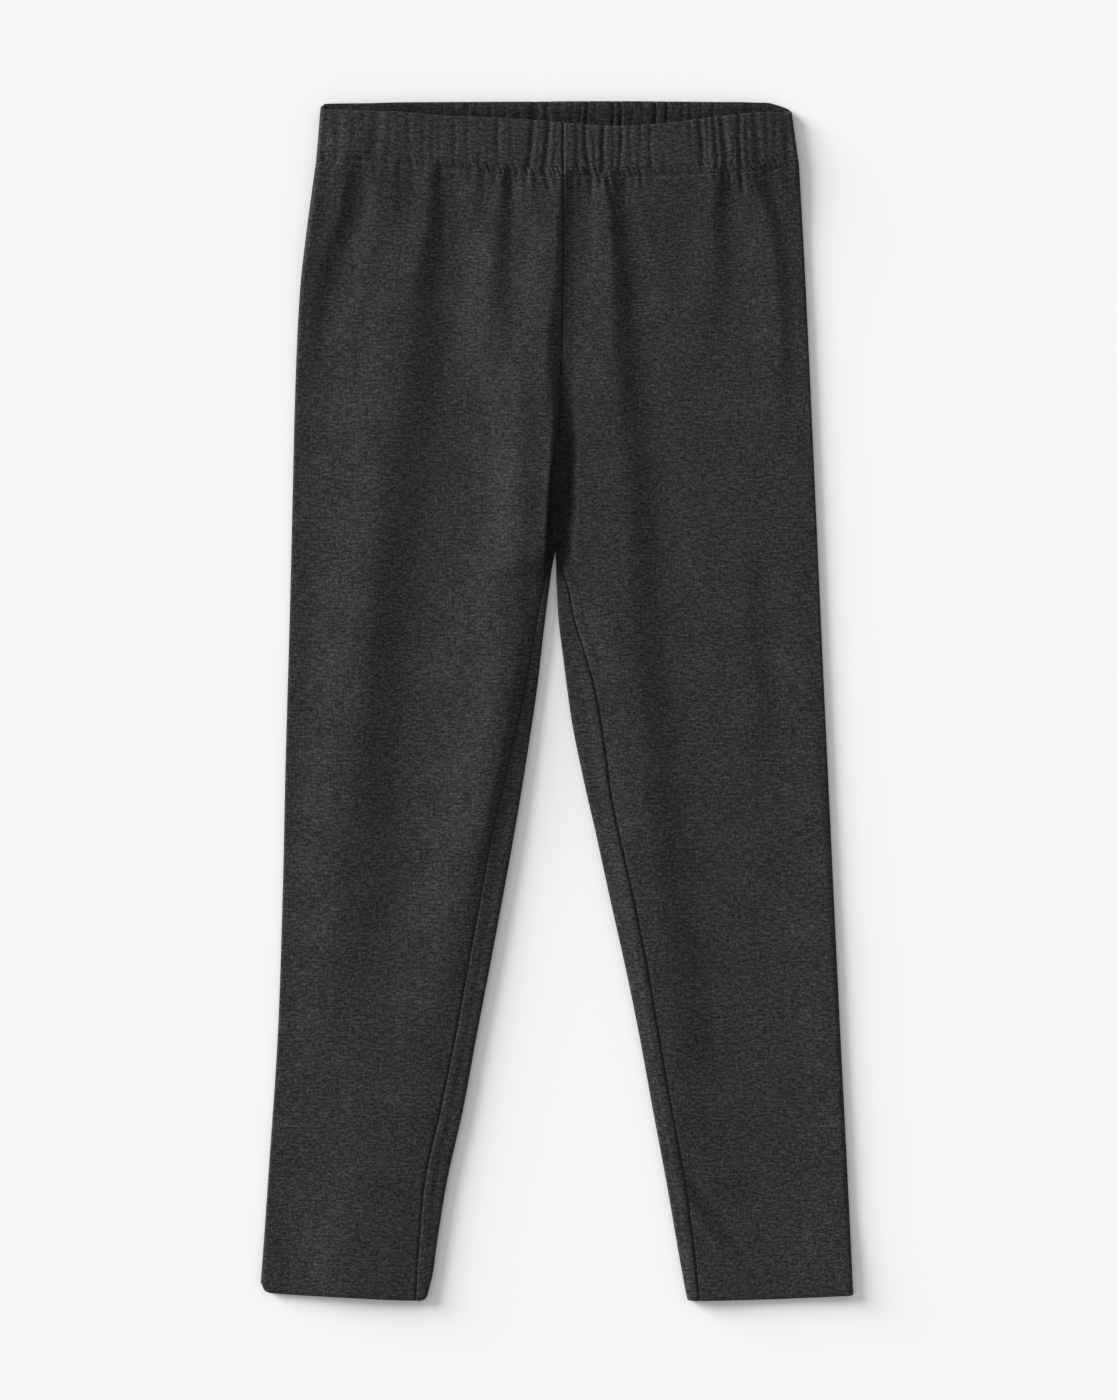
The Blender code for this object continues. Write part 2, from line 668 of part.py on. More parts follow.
def ridges(gathers, x, share_up):
    """0 in the deepest valley and 1 on a ridge, at this x and share of the way up the waistband."""
    level = 1.0
    for gather in gathers:
        line = gather.x + gather.lean * (0.5 - share_up)
        level *= 1 - gather.depth * valley(x - line, GATHER_HALF_WIDTH)
    return level


class BandRing:
    """The waistband's loop at one height: a flat oval, whose straight runs are the waist's front and back. A
    place on it is ("front", share) or ("back", share) of a straight run from the centre seam to the side, or
    ("side", angle) round the fold, with the side's sign third."""

    def __init__(self, share_up):
        rise = ease(share_up / PINCHED)
        back = mix(BACK_MIDDLE_AT_FOOT, BACK_MIDDLE, rise)
        front = mix(FRONT_MIDDLE_AT_FOOT, FRONT_MIDDLE, rise)
        self.share_up = share_up
        self.half = (front - back) / 2
        self.centre = (front + back) / 2
        self.side_half = mix(FOOT_HALF, BAND_HALF, rise)

    def reach(self, side):
        """x of the end of the straight runs on one side."""
        widest = OUTER_FOLD[0].right if side < 0 else OUTER_FOLD[0].left
        return side * (widest - BAND_NARROWING * self.share_up - self.half - self.side_half)

    def start(self, side):
        """x of the other end, at the centre seam."""
        return CENTRE_SEAM[0].x + side * SEAM_GAP / 2

    def middle(self, place):
        """x and z of the middle line at a place, and its outward normal's x and z."""
        run, share, side = place
        end = self.reach(side)
        if run == "side":
            nx, nz = side * math.sin(share), math.cos(share)
            return end + nx * self.half, self.centre + nz * self.half, nx, nz
        nz = 1 if run == "front" else -1
        return mix(self.start(side), end, share), self.centre + nz * self.half, 0.0, nz


def band_point(place, share_up, offset):
    """A point of the waistband, offset outwards from its middle line. share_up is from 0 at the foot to 1 at
    the top fold."""
    x, z, nx, nz = BandRing(share_up).middle(place)
    frontness = (1 + nz) / 2
    top = mix(through(BACK_TOP, x), through(FRONT_TOP, x), frontness)
    foot = mix(through(BACK_FOOT, x), through(FRONT_FOOT, x), frontness)
    return x + nx * offset, mix(foot, top, share_up), z + nz * offset


def outer_face(place, share_up):
    """Offset of the band's outer face: gathered on the front, and pressed flat under the back."""
    x, _, _, nz = BandRing(share_up).middle(place)
    pinch = 1 - ease(share_up / PINCHED)
    plain = mix(BAND_HALF, FOOT_HALF, pinch)
    ridge = mix(FRONT_RIDGE, STITCHED_PUCKER, pinch) * ridges(FRONT_GATHERS, x, share_up)
    pressed = mix(BACK_MIDDLE, BACK_MIDDLE_AT_FOOT, pinch) - plain
    return plain + max(nz, 0.0) * ridge + max(-nz, 0.0) * pressed


def inner_face(place, share_up):
    """Offset of the band's inner face, negative: gathered along the back, plain along the front."""
    x, _, _, nz = BandRing(share_up).middle(place)
    pinch = 1 - ease(share_up / PINCHED)
    plain = mix(BAND_HALF, FOOT_HALF, pinch)
    return -(plain + max(-nz, 0.0) * (1 - pinch) * BACK_RIDGE * ridges(BACK_GATHERS, x, share_up))


def places_between(gathers, side, run, stretches):
    """Places along one straight run, from the centre seam out, with a column on every valley."""
    ring = BandRing(1.0)
    start, end = ring.start(side), ring.reach(side)
    shares = sorted((gather.x - start) / (end - start) for gather in gathers)
    shares = [share for share in shares if CLOSEST_ON_BAND < share < 1 - CLOSEST_ON_BAND]
    shares = [0.0, *shares, 1.0]
    found = []
    for a, b in zip(shares, shares[1:]):
        found += [(run, share, side) for share in steps(a, b, stretches)]
    return found


def side_fold(side):
    """Places round the fold at one side, from the front to the back."""
    return [("side", angle, side) for angle in steps(0, math.pi, SIDE_FOLD_COLUMNS) + [math.pi]]


def band_places(side):
    """Every column of one half of the waistband, from the centre front seam round to the centre back."""
    front = places_between(FRONT_GATHERS, side, "front", 3)
    back = places_between(BACK_GATHERS, side, "back", 2)
    return front + side_fold(side) + [*reversed(back)]


def casing_section(place):
    """The turned-down cloth's section at one column: up its outer face, over the top fold, down its inner
    face, and back through the slot that holds the elastic."""
    return [
        band_point(place, 0.0, outer_face(place, 0.0)),
        band_point(place, PINCHED, outer_face(place, PINCHED)),
        band_point(place, MIDWAY, outer_face(place, MIDWAY)),
        band_point(place, SHOULDER, outer_face(place, SHOULDER) - FOLD_EASE),
        band_point(place, 1.0, FOLD_EASE),
        band_point(place, SHOULDER, inner_face(place, SHOULDER) + FOLD_EASE),
        band_point(place, PINCHED, inner_face(place, PINCHED)),
        band_point(place, 0.0, inner_face(place, 0.0)),
        band_point(place, 0.0, -FOOT_ROOM),
        band_point(place, PINCHED, -ELASTIC_ROOM),
        band_point(place, SLOT_TOP, -ELASTIC_ROOM),
        band_point(place, SLOT_TOP, ELASTIC_ROOM),
        band_point(place, PINCHED, ELASTIC_ROOM),
        band_point(place, 0.0, FOOT_ROOM),
    ]


def swept(name, sections, material):
    """A body swept through sections, each a loop of points. Both ends are closed where the last section isn't
    the first one again."""
    mesh = bmesh.new()
    sheet(mesh, [[*section, section[0]] for section in sections])
    bmesh.ops.remove_doubles(mesh, verts=mesh.verts, dist=0.001 * MM)
    bmesh.ops.holes_fill(mesh, edges=[edge for edge in mesh.edges if edge.is_boundary], sides=0)
    return body(name, mesh, material)


def waist_casing(name, side, material):
    """One half of the waistband's cloth."""
    return swept(name, [casing_section(place) for place in band_places(side)], material)


def elastic_loop(name, material):
    """The elastic, one flat loop inside the waistband."""
    places = []
    for side in (1, -1):
        front = [("front", share, side) for share in steps(0.0, 1.0, ELASTIC_COLUMNS)]
        back = [("back", share, side) for share in steps(1.0, 0.0, ELASTIC_COLUMNS)[1:]]
        half = front + side_fold(side) + back
        places += half if side > 0 else [*reversed(half)]
    low, high = PINCHED + ELASTIC_CLEARANCE, SLOT_TOP - ELASTIC_CLEARANCE
    half_thick = ELASTIC_THICK / 2
    corners = ((low, half_thick), (high, half_thick), (high, -half_thick), (low, -half_thick))
    sections = [[band_point(place, share_up, offset) for share_up, offset in corners] for place in places]
    return swept(name, [*sections, sections[0]], material)


def cloth(name, colour, roughness):
    """A plain woven or knitted surface."""
    material = bpy.data.materials.new(name)
    material.use_nodes = True
    surface = material.node_tree.nodes["Principled BSDF"]
    surface.inputs["Base Color"].default_value = (*colour, 1)
    surface.inputs["Roughness"].default_value = roughness
    surface.inputs["Metallic"].default_value = 0
    return material


for existing in list(bpy.data.objects):
    bpy.data.objects.remove(existing)

jersey = cloth("charcoal_jersey", (0.034, 0.034, 0.032), 0.9)
webbing = cloth("white_elastic", (0.6, 0.6, 0.58), 0.7)
for side, word in ((-1, "right"), (1, "left")):
    leg_panel(f"leg_panel_{word}", side, jersey)
    waist_casing(f"waist_casing_{word}", side, jersey)
elastic_loop("waist_elastic", webbing)
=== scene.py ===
"""Child's leggings of charcoal melange jersey, laid out on their back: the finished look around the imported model.

Places on the garment are in millimetres, as a maker's pattern gives them: x runs to the wearer's left from the
middle, down is the distance below the back waist edge, and z is the height above the surface it lies on.
"""

import math
from bisect import bisect_left
from collections import namedtuple

import bmesh
import bpy
from mathutils import Matrix, Vector, noise


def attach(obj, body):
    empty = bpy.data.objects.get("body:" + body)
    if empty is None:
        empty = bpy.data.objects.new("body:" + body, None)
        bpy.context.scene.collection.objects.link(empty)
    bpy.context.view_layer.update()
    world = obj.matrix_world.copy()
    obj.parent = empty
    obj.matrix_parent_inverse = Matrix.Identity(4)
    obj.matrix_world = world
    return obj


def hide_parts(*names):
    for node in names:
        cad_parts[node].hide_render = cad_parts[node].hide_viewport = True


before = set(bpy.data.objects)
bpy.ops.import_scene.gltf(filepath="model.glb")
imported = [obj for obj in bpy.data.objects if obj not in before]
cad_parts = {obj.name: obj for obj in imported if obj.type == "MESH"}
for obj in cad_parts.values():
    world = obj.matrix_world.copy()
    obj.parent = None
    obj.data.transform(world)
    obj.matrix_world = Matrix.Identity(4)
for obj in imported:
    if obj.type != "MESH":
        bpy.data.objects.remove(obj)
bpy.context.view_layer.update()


# ---- The two legs ----------------------------------------------------
# Each leg is one panel of cotton jersey with a little elastane, folded round at the outer side. The two are
# overlocked together down the centre front and back, and each closes on itself along the inseam, a little way in on
# the front. The hems are turned up inside. The cloth lies loose, in long folds that run down from the waist.
MM = 0.001
LENGTH = 624.0
JERSEY_THICK = 0.7
HALF_SEAM = 0.06
FOOT_GAP = 0.03
FOOT_FURROW, FOOT_FURROW_BREADTH = 0.5, 0.55
PANEL_TOP = 32.4
CROTCH = 234.5
HEM = 622.0
TURN_UP = 21.5
TURN_UP_GAP = 0.3
HEM_NEEDLES = (16.4, 20.4)
NEEDLE_BREADTH = 0.7
LEG_SIDES = {"right": -1, "left": 1}

OUTER_FOLD = {
    "right": (
        (32, 125.4), (67, 130.2), (98, 133.7), (145, 136.1), (207, 137.7), (270, 139.2), (343, 141.3), (415, 142.9),
        (488, 145.5), (561, 150.4), (622, 154.3),
    ),
    "left": (
        (32, 126), (67, 128), (98, 129.6), (145, 131.8), (207, 134.6), (270, 137.4), (343, 140.8), (415, 144.2),
        (488, 147.7), (561, 151.4), (622, 154.3),
    ),
}
CENTRE_SEAM = ((0, 3.3), (40, 3.2), (85, 3.1), (130, 2.2), (165, 0.8), (200, 0), (234.5, -0.9))
INNER_EDGE = {
    "right": (
        (234.5, 1.05), (239, 1.9), (247, 3.2), (270, 6.2), (306, 10.4), (343, 15.9), (379, 21.8), (415, 28.3),
        (452, 35.2), (488, 42.1), (525, 48.9), (561, 57), (597, 62.8), (610, 64.5), (622, 67.4),
    ),
    "left": (
        (234.5, -0.8), (240, -0.5), (247, -0.3), (256, 0.1), (270, 0.8), (290, 3.3), (308, 5.6), (325, 8.1),
        (343, 11.7), (361, 15.6), (379, 19.8), (415, 27.6), (452, 35.9), (488, 43.2), (525, 49.9), (561, 56.7),
        (597, 63.1), (622, 67.8),
    ),
}
INSEAM_IN = {
    "right": (
        (234.5, 0), (241, 1.6), (247, 2.6), (270, 4.2), (306, 6.6), (343, 9.2), (379, 11.5), (415, 11.6),
        (452, 11.4), (488, 11), (525, 11.8), (561, 11.6), (597, 9.2), (610, 8.4), (622, 6),
    ),
    "left": (
        (234.5, 0), (241, 2.2), (247, 4.2), (256, 6.4), (270, 8.4), (290, 12.2), (308, 14.6), (325, 15.2),
        (343, 14.2), (361, 12.6), (379, 12), (415, 12.3), (452, 11.4), (488, 10.2), (525, 9.9), (561, 9.8),
        (597, 8.3), (622, 6.2),
    ),
}
HEM_LINE = (
    (-154, 615.4), (-152, 618.8), (-148, 620.3), (-110, 622.4), (-76, 624), (-69, 623.6), (-66, 621.4), (66, 624),
    (110, 623.4), (154, 621.4),
)
FRONT_FOOT = (
    (-123, 31.6), (-106, 31.4), (-82, 33.8), (-58, 35.7), (-34, 38.2), (-10, 39.6), (14, 39.9), (34, 39.9),
    (52, 39.7), (70, 38.9), (86, 37.7), (104, 36.7), (123, 34),
)
BACK_FOOT = (
    (-123, 32.2), (-106, 31.2), (-82, 30.8), (-58, 30.4), (-34, 30.2), (14, 30), (52, 30.1), (86, 30.6), (104, 31.2),
    (123, 32.4),
)

# A crease comes up on the wearer's right, falls away over its flank, runs level over its floor and comes back on the
# wearer's left. Each row of its path is the distance down, x of the middle of the flank, the drop and the flank's
# half width. rise and recovery are in half widths of the flank, floor is a table of its width in millimetres against
# the distance down, and above is the share of the drop that stands up.
Crease = namedtuple("Crease", "path rise floor recovery above")
NO_WIDTH = ((0, 0.0),)
CREASES = [Crease(*row) for row in (
    (((33, -62, 0.9, 3.5), (44, -62.4, 2.4, 4.4), (62, -62.9, 3.2, 5.5), (77, -64.5, 3.8, 7), (98, -67.5, 4, 8.5),
      (124, -67.1, 4.2, 10), (155, -69.7, 3.6, 12.5), (187, -75.4, 3, 15), (218, -79, 3, 13), (259, -84, 2.5, 12),
      (311, -89.4, 1.8, 12.5), (363, -95.7, 1.7, 12.5), (415, -102.4, 1.8, 13), (467, -107.6, 1.5, 12),
      (509, -109.7, 0.8, 12), (545, -111, 0, 12)), 2.9, NO_WIDTH, 3.4, 0.4),
    (((33, -106, 0.9, 3.4), (46, -107.6, 2.2, 3.8), (54, -108.7, 2.6, 4.2), (62, -110.2, 2.7, 4.6),
      (77, -116, 2.5, 5.6), (98, -121.7, 1.8, 6), (124, -128, 1, 6), (150, -130, 0, 6)), 1.6, NO_WIDTH, 3, 0.15),
    (((33, -26, 0.8, 3.2), (46, -26.5, 2.2, 3.8), (62, -27, 2.6, 4.4), (77, -28, 2.6, 5.2), (98, -29.1, 2.2, 6),
      (124, -29.6, 1.2, 7), (160, -30, 0, 7)), 2.6, NO_WIDTH, 3.2, 0.5),
    (((33, 4.6, 1, 2.8), (46, 4.4, 2.8, 3.4), (62, 3.8, 3.8, 3.8), (77, 3, 4.1, 4.2), (98, 2.4, 4.2, 4.8),
      (124, -0.6, 4.2, 5.6), (150, -2, 2.8, 5.4), (176, -2.6, 0, 4)), 11, ((0, 4),), 4.6, 0.68),
    (((118, -0.6, 0, 2.2), (134, -0.6, 1.4, 2), (150, -1.2, 4.2, 1.6), (166, -1.6, 6.4, 1.3), (176, -2.4, 7, 1.1),
      (187, -3.6, 7.4, 1), (197, -4.9, 7.6, 1), (208, -5.8, 7.8, 1), (218, -6.3, 7.8, 1), (228, -7, 7.6, 1),
      (236, -7.4, 7, 1), (241, -7.6, 4.4, 1.1), (248, -8, 0, 1.3)),
     30, ((134, 3), (155, 4.4), (166, 6), (176, 8.6), (187, 10.4), (208, 12.2), (228, 11.6)), 4.6, 0.6),
    (((33, 29, 0.9, 3), (46, 29.6, 2.8, 3.6), (62, 30.7, 3.6, 4.4), (77, 32.8, 3.9, 5.4), (98, 34.6, 3.8, 6.2),
      (124, 35.6, 3.6, 7), (155, 38.5, 3.3, 7.6), (187, 42.1, 3.2, 8), (218, 44.7, 3.2, 9), (259, 46.2, 3.1, 10),
      (311, 51, 3, 10), (363, 55.5, 2.9, 10.5), (415, 61, 2.6, 11), (467, 68.1, 2, 11), (509, 72.8, 1, 11),
      (545, 75, 0, 11)), 4.6, NO_WIDTH, 2.6, 0.55),
    (((33, 85, 0.8, 3), (46, 85.3, 2.2, 3.6), (62, 84.8, 2, 4.2), (77, 85.8, 1.6, 5), (98, 85.8, 1, 6),
      (124, 82, 0.4, 7), (150, 81, 0, 7)), 2.8, NO_WIDTH, 2.8, 0.5),
    (((33, 105, 0.8, 2.8), (46, 107.6, 2.1, 3.2), (54, 110.2, 2.3, 3.6), (62, 113.4, 2.3, 4.2),
      (77, 116.5, 2.2, 4.8), (98, 118.6, 2, 5), (124, 120.6, 1.5, 5.4), (155, 119.6, 0.8, 6), (185, 119, 0, 7)),
     3, NO_WIDTH, 2.2, 0.4),
    (((225, 103, 0, 6), (245, 103, 0.8, 6), (259, 103.6, 1.2, 6.5), (285, 105.5, 1.2, 7), (311, 108, 1.1, 7),
      (335, 108, 0.7, 7), (370, 107, 0, 7)), 2.5, NO_WIDTH, 2.5, 0.5),
    (((120, -16, 0, 7), (155, -15, 1.2, 7), (187, -15, 2, 7), (218, -15.5, 2.2, 7.5), (234, -15, 1, 7.5),
      (250, -15, 0, 7.5)), 3, NO_WIDTH, 1, 0.8),
    (((218, -13, 0, 7), (238, -12.5, 1.1, 7), (259, -13.5, 2, 6.2), (285, -15.5, 2.4, 5.6), (311, -19.6, 2.4, 5.4),
      (337, -24.2, 2.1, 5.4), (363, -30, 1.7, 6), (415, -44, 1, 7.5), (467, -58, 1, 10), (540, -72, 0, 12)),
     4.6, NO_WIDTH, 0.6, 0.95),
    (((33, -79, 0.5, 4), (46, -79.5, 1, 5), (62, -80, 0.8, 6), (95, -80, 0, 6)), 1.6, NO_WIDTH, 3.4, 0.3),
    (((33, -38, 0.5, 3.5), (46, -38, 0.9, 4), (60, -38.5, 0.4, 5), (75, -38.5, 0, 5)), 1.6, NO_WIDTH, 3, 0.3),
    (((33, -12, 0.8, 4), (44, -12.5, 1.5, 5), (60, -13, 0.9, 6), (80, -13, 0, 6)), 2, NO_WIDTH, 3, 0.3),
    (((33, 13, 0.6, 3.5), (46, 13.5, 1.1, 4.5), (62, 13.5, 0.6, 5), (80, 13, 0, 5)), 2, NO_WIDTH, 3, 0.3),
    (((185, -86, 0, 8), (235, -90, 0.9, 9), (300, -96, 1.1, 9), (360, -102, 0.9, 9), (420, -110, 0.5, 10),
      (470, -116, 0, 10)), 3.2, NO_WIDTH, 1, 1),
    (((552, 61, 0, 4.5), (566, 68, 2.1, 3.6), (580, 78, 2.6, 3.6), (592, 88, 2, 4), (606, 97, 0, 4.5)),
     2, NO_WIDTH, 2.2, 0.5),
    (((520, -88, 0, 14), (560, -86, 0.5, 14), (597, -84, 1, 14), (622, -84, 1, 14)), 2.6, NO_WIDTH, 1.2, 0.7),
)]
CREASE_LEAD = 8

# Short gathers below the waist stitching, between the long creases.
Pucker = namedtuple("Pucker", "x reach depth half_width drift")
PUCKERS = [Pucker(*row) for row in (
    (-121, 9, 0.5, 1.6, -2), (-114.4, 8, 1.25, 1.3, -5), (-108, 6, 0.38, 1.1, -1), (-101.4, 6, 1, 1, 0),
    (-94.2, 12, 0.62, 1.6, 0), (-88, 8, 0.44, 1.2, 0), (-81.6, 15, 0.88, 1.6, 0), (-75, 7, 0.38, 1.1, 0),
    (-69, 8, 0.44, 1.2, 0), (-60.8, 16, 1, 1.5, 0), (-53.6, 9, 0.5, 1.3, 0), (-45.2, 12, 0.75, 1.4, 1),
    (-38.6, 13, 0.81, 1.5, 0), (-32, 11, 0.81, 1.25, 0), (-25, 22, 1.95, 1.88, 1), (-20.6, 10, 0.65, 1.12, 0),
    (-16.6, 12, 1.3, 1.5, 1), (-11, 10, 0.81, 1.12, 1), (-5.7, 14, 1.62, 1.38, 4), (-0.8, 10, 0.81, 1, 1),
    (8, 16, 1.46, 1.25, 0), (12, 11, 0.98, 1, 0), (17.7, 15, 1.79, 1.25, 0.5), (22.4, 12, 1.46, 1.12, 0),
    (26, 21, 1.95, 1.38, 4), (30.4, 11, 0.81, 1, 1), (35, 12, 1.14, 1.12, 1), (40.2, 10, 0.65, 1.12, 0),
    (43.6, 13, 0.98, 1.25, 1), (50, 10, 0.49, 1.25, 0), (61, 5, 0.25, 1.2, 0), (69.6, 6, 0.31, 1.2, 0),
    (77, 7, 0.5, 1, 1), (82, 7, 1.12, 0.9, 1), (86, 12, 1.5, 1, 1), (89.6, 15, 1.12, 0.8, 1),
    (95.2, 21, 1.62, 1.2, 3), (99.4, 7, 0.62, 0.8, 1), (103.5, 21, 1.5, 1.4, 5), (108, 7, 0.5, 0.9, 1),
    (112, 10, 1, 1.3, 2), (118, 9, 0.62, 1.5, 3),
)]
PUCKERS_END = 30
PUCKER_START, PUCKER_START_REACH = 0.6, 3

# At the crotch the wearer's right leg folds over: the lip of its crease leans out over the foot by this much. It
# swells up before its line and falls off past it, and its foot is drawn in.
LIP = (
    (134, -0.6), (150, -1.2), (166, -1.6), (176, -2.4), (187, -3.6), (197, -4.9), (208, -5.8), (218, -6.3),
    (228, -7), (241, -7.6), (262, -8.6),
)
LIP_OVERHANG = ((140, 0), (160, 0.9), (180, 1.5), (205, 2.2), (236, 2.2), (248, 1), (258, 0))
LIP_RISE_FROM, LIP_RISE = 8, 7
LIP_FALL_FROM, LIP_FALL = 1, 2
LIP_FOOT_SHARE, LIP_FOOT_AT, LIP_FOOT_BREADTH = 0.5, 1.2, 1.1
# Painted shade in the crotch fold: the cloth's colour is darkened under the lip over this breadth, as strongly as
# this share, with soft ends on both sides.
PAINTED_SHADE_BREADTH = (
    (134, 3), (155, 4.4), (166, 6.4), (176, 9), (187, 11), (208, 12.6), (228, 12.4), (240, 11), (262, 8.6), (285, 7),
)
PAINTED_SHADE_DEPTH = ((128, 0), (155, 0.45), (176, 0.7), (195, 1), (240, 1), (255, 0.6), (285, 0))
PAINTED_SHADE_FROM, PAINTED_SHADE_SOFT = 0.4, 1.6
PAINTED_SHADE_PAST, PAINTED_SHADE_FAR_SOFT = 2.4, 3.4

# Shallow dents in the side that lies on the surface, which lift it a little.
Dent = namedtuple("Dent", "path half_width height")
BACK_DENTS = (
    Dent(((60, -48), (180, -58), (320, -70), (470, -98)), 9, 0.55),
    Dent(((40, -96), (110, -100), (200, -108)), 6, 0.5),
    Dent(((36, 22), (130, 30), (260, 34)), 7, 0.55),
    Dent(((70, 70), (200, 76), (340, 86), (480, 110)), 9, 0.55),
    Dent(((36, 104), (90, 108), (160, 112)), 5, 0.45),
)
DENT_COMES, DENT_GOES = 30, 60

# Height of the front's outer face against the distance in from the outer fold, before its creases. Towards the waist
# it comes to one level, which the waistband lifts further.
LOFT = {
    "right": ((0, 2.7), (12, 2.8), (26, 3.6), (42, 4.7), (54, 4.8), (100, 4.5), (160, 4.3)),
    "left": ((0, 3.3), (12, 3.2), (32, 2.9), (66, 3.2), (100, 4.1), (160, 4.7)),
}
# Lower down the legs the cloth lies otherwise: the wearer's right leg sinks beyond its first long crease, and the
# left one stands up along its inseam and again along its outer fold.
LOW_LOFT = {
    "right": (
        (0, 2.7), (12, 2.8), (26, 3.9), (42, 4.7), (50, 4.3), (60, 3.6), (75, 3.9), (95, 5.1), (108, 5.8),
        (116, 5.2), (125, 4.2),
    ),
    "left": ((0, 3.3), (3, 3.4), (10, 3), (24, 2.1), (43, 2), (60, 2.7), (80, 3.9), (92, 4.1), (110, 3.8)),
}
LOW_LOFT_SHARE = {
    "right": ((235, 0), (280, 1), (415, 1), (490, 0.4), (560, 0)),
    "left": ((270, 0), (360, 0.8), (420, 1), (500, 1), (600, 0.4), (622, 0.3)),
}
LEVEL = 4.6
LEVEL_REACH = {"right": 170.0, "left": 110.0}
WAIST_LIFT, WAIST_LIFT_REACH = 3.4, 48.0
BAND_END_REACH = {"right": 12.0, "left": 34.0}
HEM_LIFT = {"right": 0.3, "left": 1.1}
HEM_RISES_AT, HEM_LIFT_REACH, HEM_EDGE_REACH = 572, 40, 28
# The waist and hem lines bend the rows of the cloth next to them, as far away as this.
WAIST_BEND_REACH, HEM_BEND_REACH = 78, 60
# The breadth over which the front comes down to the inner edge, against the distance down.
INNER_SLOPE = {
    "right": ((237, 6), (262, 7), (300, 9), (332, 10), (384, 11), (440, 13), (519, 14), (622, 18)),
    "left": ((237, 22), (290, 30), (350, 26), (430, 8), (622, 8)),
}
INNER_SLOPE_TOP, INNER_SLOPE_COMES = 222.0, 40
# Inside that slope the right leg's inner edge lies level, as far in as this.
INNER_STRIP = {"right": ((290, 0.0), (340, 4.0), (415, 6.5), (561, 6.5), (622, 4.0)), "left": NO_WIDTH}
WAIST_EDGE_HEIGHT = {"right": 6.6, "left": 4.4}
EDGE_HEIGHT = {"leg": 2.7, "hem": 3.6}
INNER_HEIGHT = {
    "right": ((237, 2.7), (300, 3), (350, 3.6), (415, 3.9), (520, 3.8), (590, 3.8)),
    "left": ((237, 2.7), (350, 3), (420, 3.7), (520, 3.7), (590, 3.8)),
}
EDGE_REACH = {"right": 150.0, "left": 45.0}
FOLD_REACH = {
    "right": ((0, 15), (622, 15)),
    "left": ((250, 15), (360, 5), (430, 3), (622, 2.5)),
}
LOWEST_FRONT, LOWEST_SEAM = 1.5, 1.2
INNER_TURN = 2.5
# The seams: a ditch between the edges, a ridge over the allowance, and the raw edges sunk into the cloth. The left
# leg's allowance lies the other way above its turn.
DITCH, DITCH_HALF_WIDTH = 0.8, 0.5
ALLOWANCE_RIDGE, ALLOWANCE_WIDTH, ALLOWANCE_RISE, ALLOWANCE_FALL = 0.42, 5.6, 1.2, 1.6
ALLOWANCE_TURN = 300
INSEAM_COMES = 12
CENTRE_SEAM_GOES_FROM, CENTRE_SEAM_GOES = 140, 50
EDGE_SINK = 0.8
# What a needle row presses in on the front and draws up on the back.
HEM_FURROW, HEM_BACK_LIFT = 0.12, 0.25
# The uneven rise and fall of cloth: height, size across and along in millimetres, and a seed.
UNEVEN = ((0.34, 34, 60, 3.1), (0.1, 13, 21, 8.7))
UNEVEN_FROM_BAND, UNEVEN_FROM_HEM = 30, 20


def ease(t):
    """0 to 1, smoothly, as t goes from 0 to 1."""
    t = min(max(t, 0.0), 1.0)
    return t * t * (3 - 2 * t)


def mix(a, b, share):
    """The value this share of the way from a to b."""
    return a + (b - a) * share


def steps(start, end, count):
    """Evenly spaced values from start to just before end."""
    return [mix(start, end, k / count) for k in range(count)]


def dip(distance, half_width):
    """1 on a line, dying away to each side."""
    return math.exp(-((distance / half_width) ** 2))


def along(rows, at, column=1):
    """The smooth curve through one column of a table of rows, held level past both ends."""
    if at <= rows[0][0]:
        return rows[0][column]
    if at >= rows[-1][0]:
        return rows[-1][column]
    k = next(i for i in range(len(rows) - 1) if rows[i + 1][0] >= at)
    (x0, y0), (x1, y1) = ((rows[i][0], rows[i][column]) for i in (k, k + 1))
    before = (rows[k - 1][0], rows[k - 1][column]) if k else (2 * x0 - x1, 2 * y0 - y1)
    after = (rows[k + 2][0], rows[k + 2][column]) if k + 2 < len(rows) else (2 * x1 - x0, 2 * y1 - y0)
    slope0, slope1 = (y1 - before[1]) / (x1 - before[0]), (after[1] - y0) / (after[0] - x0)
    span = x1 - x0
    t = (at - x0) / span
    return (
        y0 * (1 + 2 * t) * (1 - t) ** 2 + slope0 * span * t * (1 - t) ** 2
        + y1 * t * t * (3 - 2 * t) - slope1 * span * t * t * (1 - t)
    )


def crease_height(offset, drop, flank, floor, crease):
    """How far a crease lifts or lowers the cloth at this distance to the wearer's left of its line."""
    if offset < -flank:
        return drop * crease.above * ease(1 + (offset + flank) / (crease.rise * flank))
    if offset > flank:
        past = max(offset - flank - floor, 0.0)
        return -drop * (1 - crease.above) * ease(1 - past / (crease.recovery * flank))
    return drop * (crease.above - ease((offset + flank) / (2 * flank)))


def unevenness(x, down):
    """The small uneven rise and fall of cloth that has been smoothed out by hand."""
    return sum(height * noise.noise(Vector((x / wide, down / long, seed))) for height, wide, long, seed in UNEVEN)


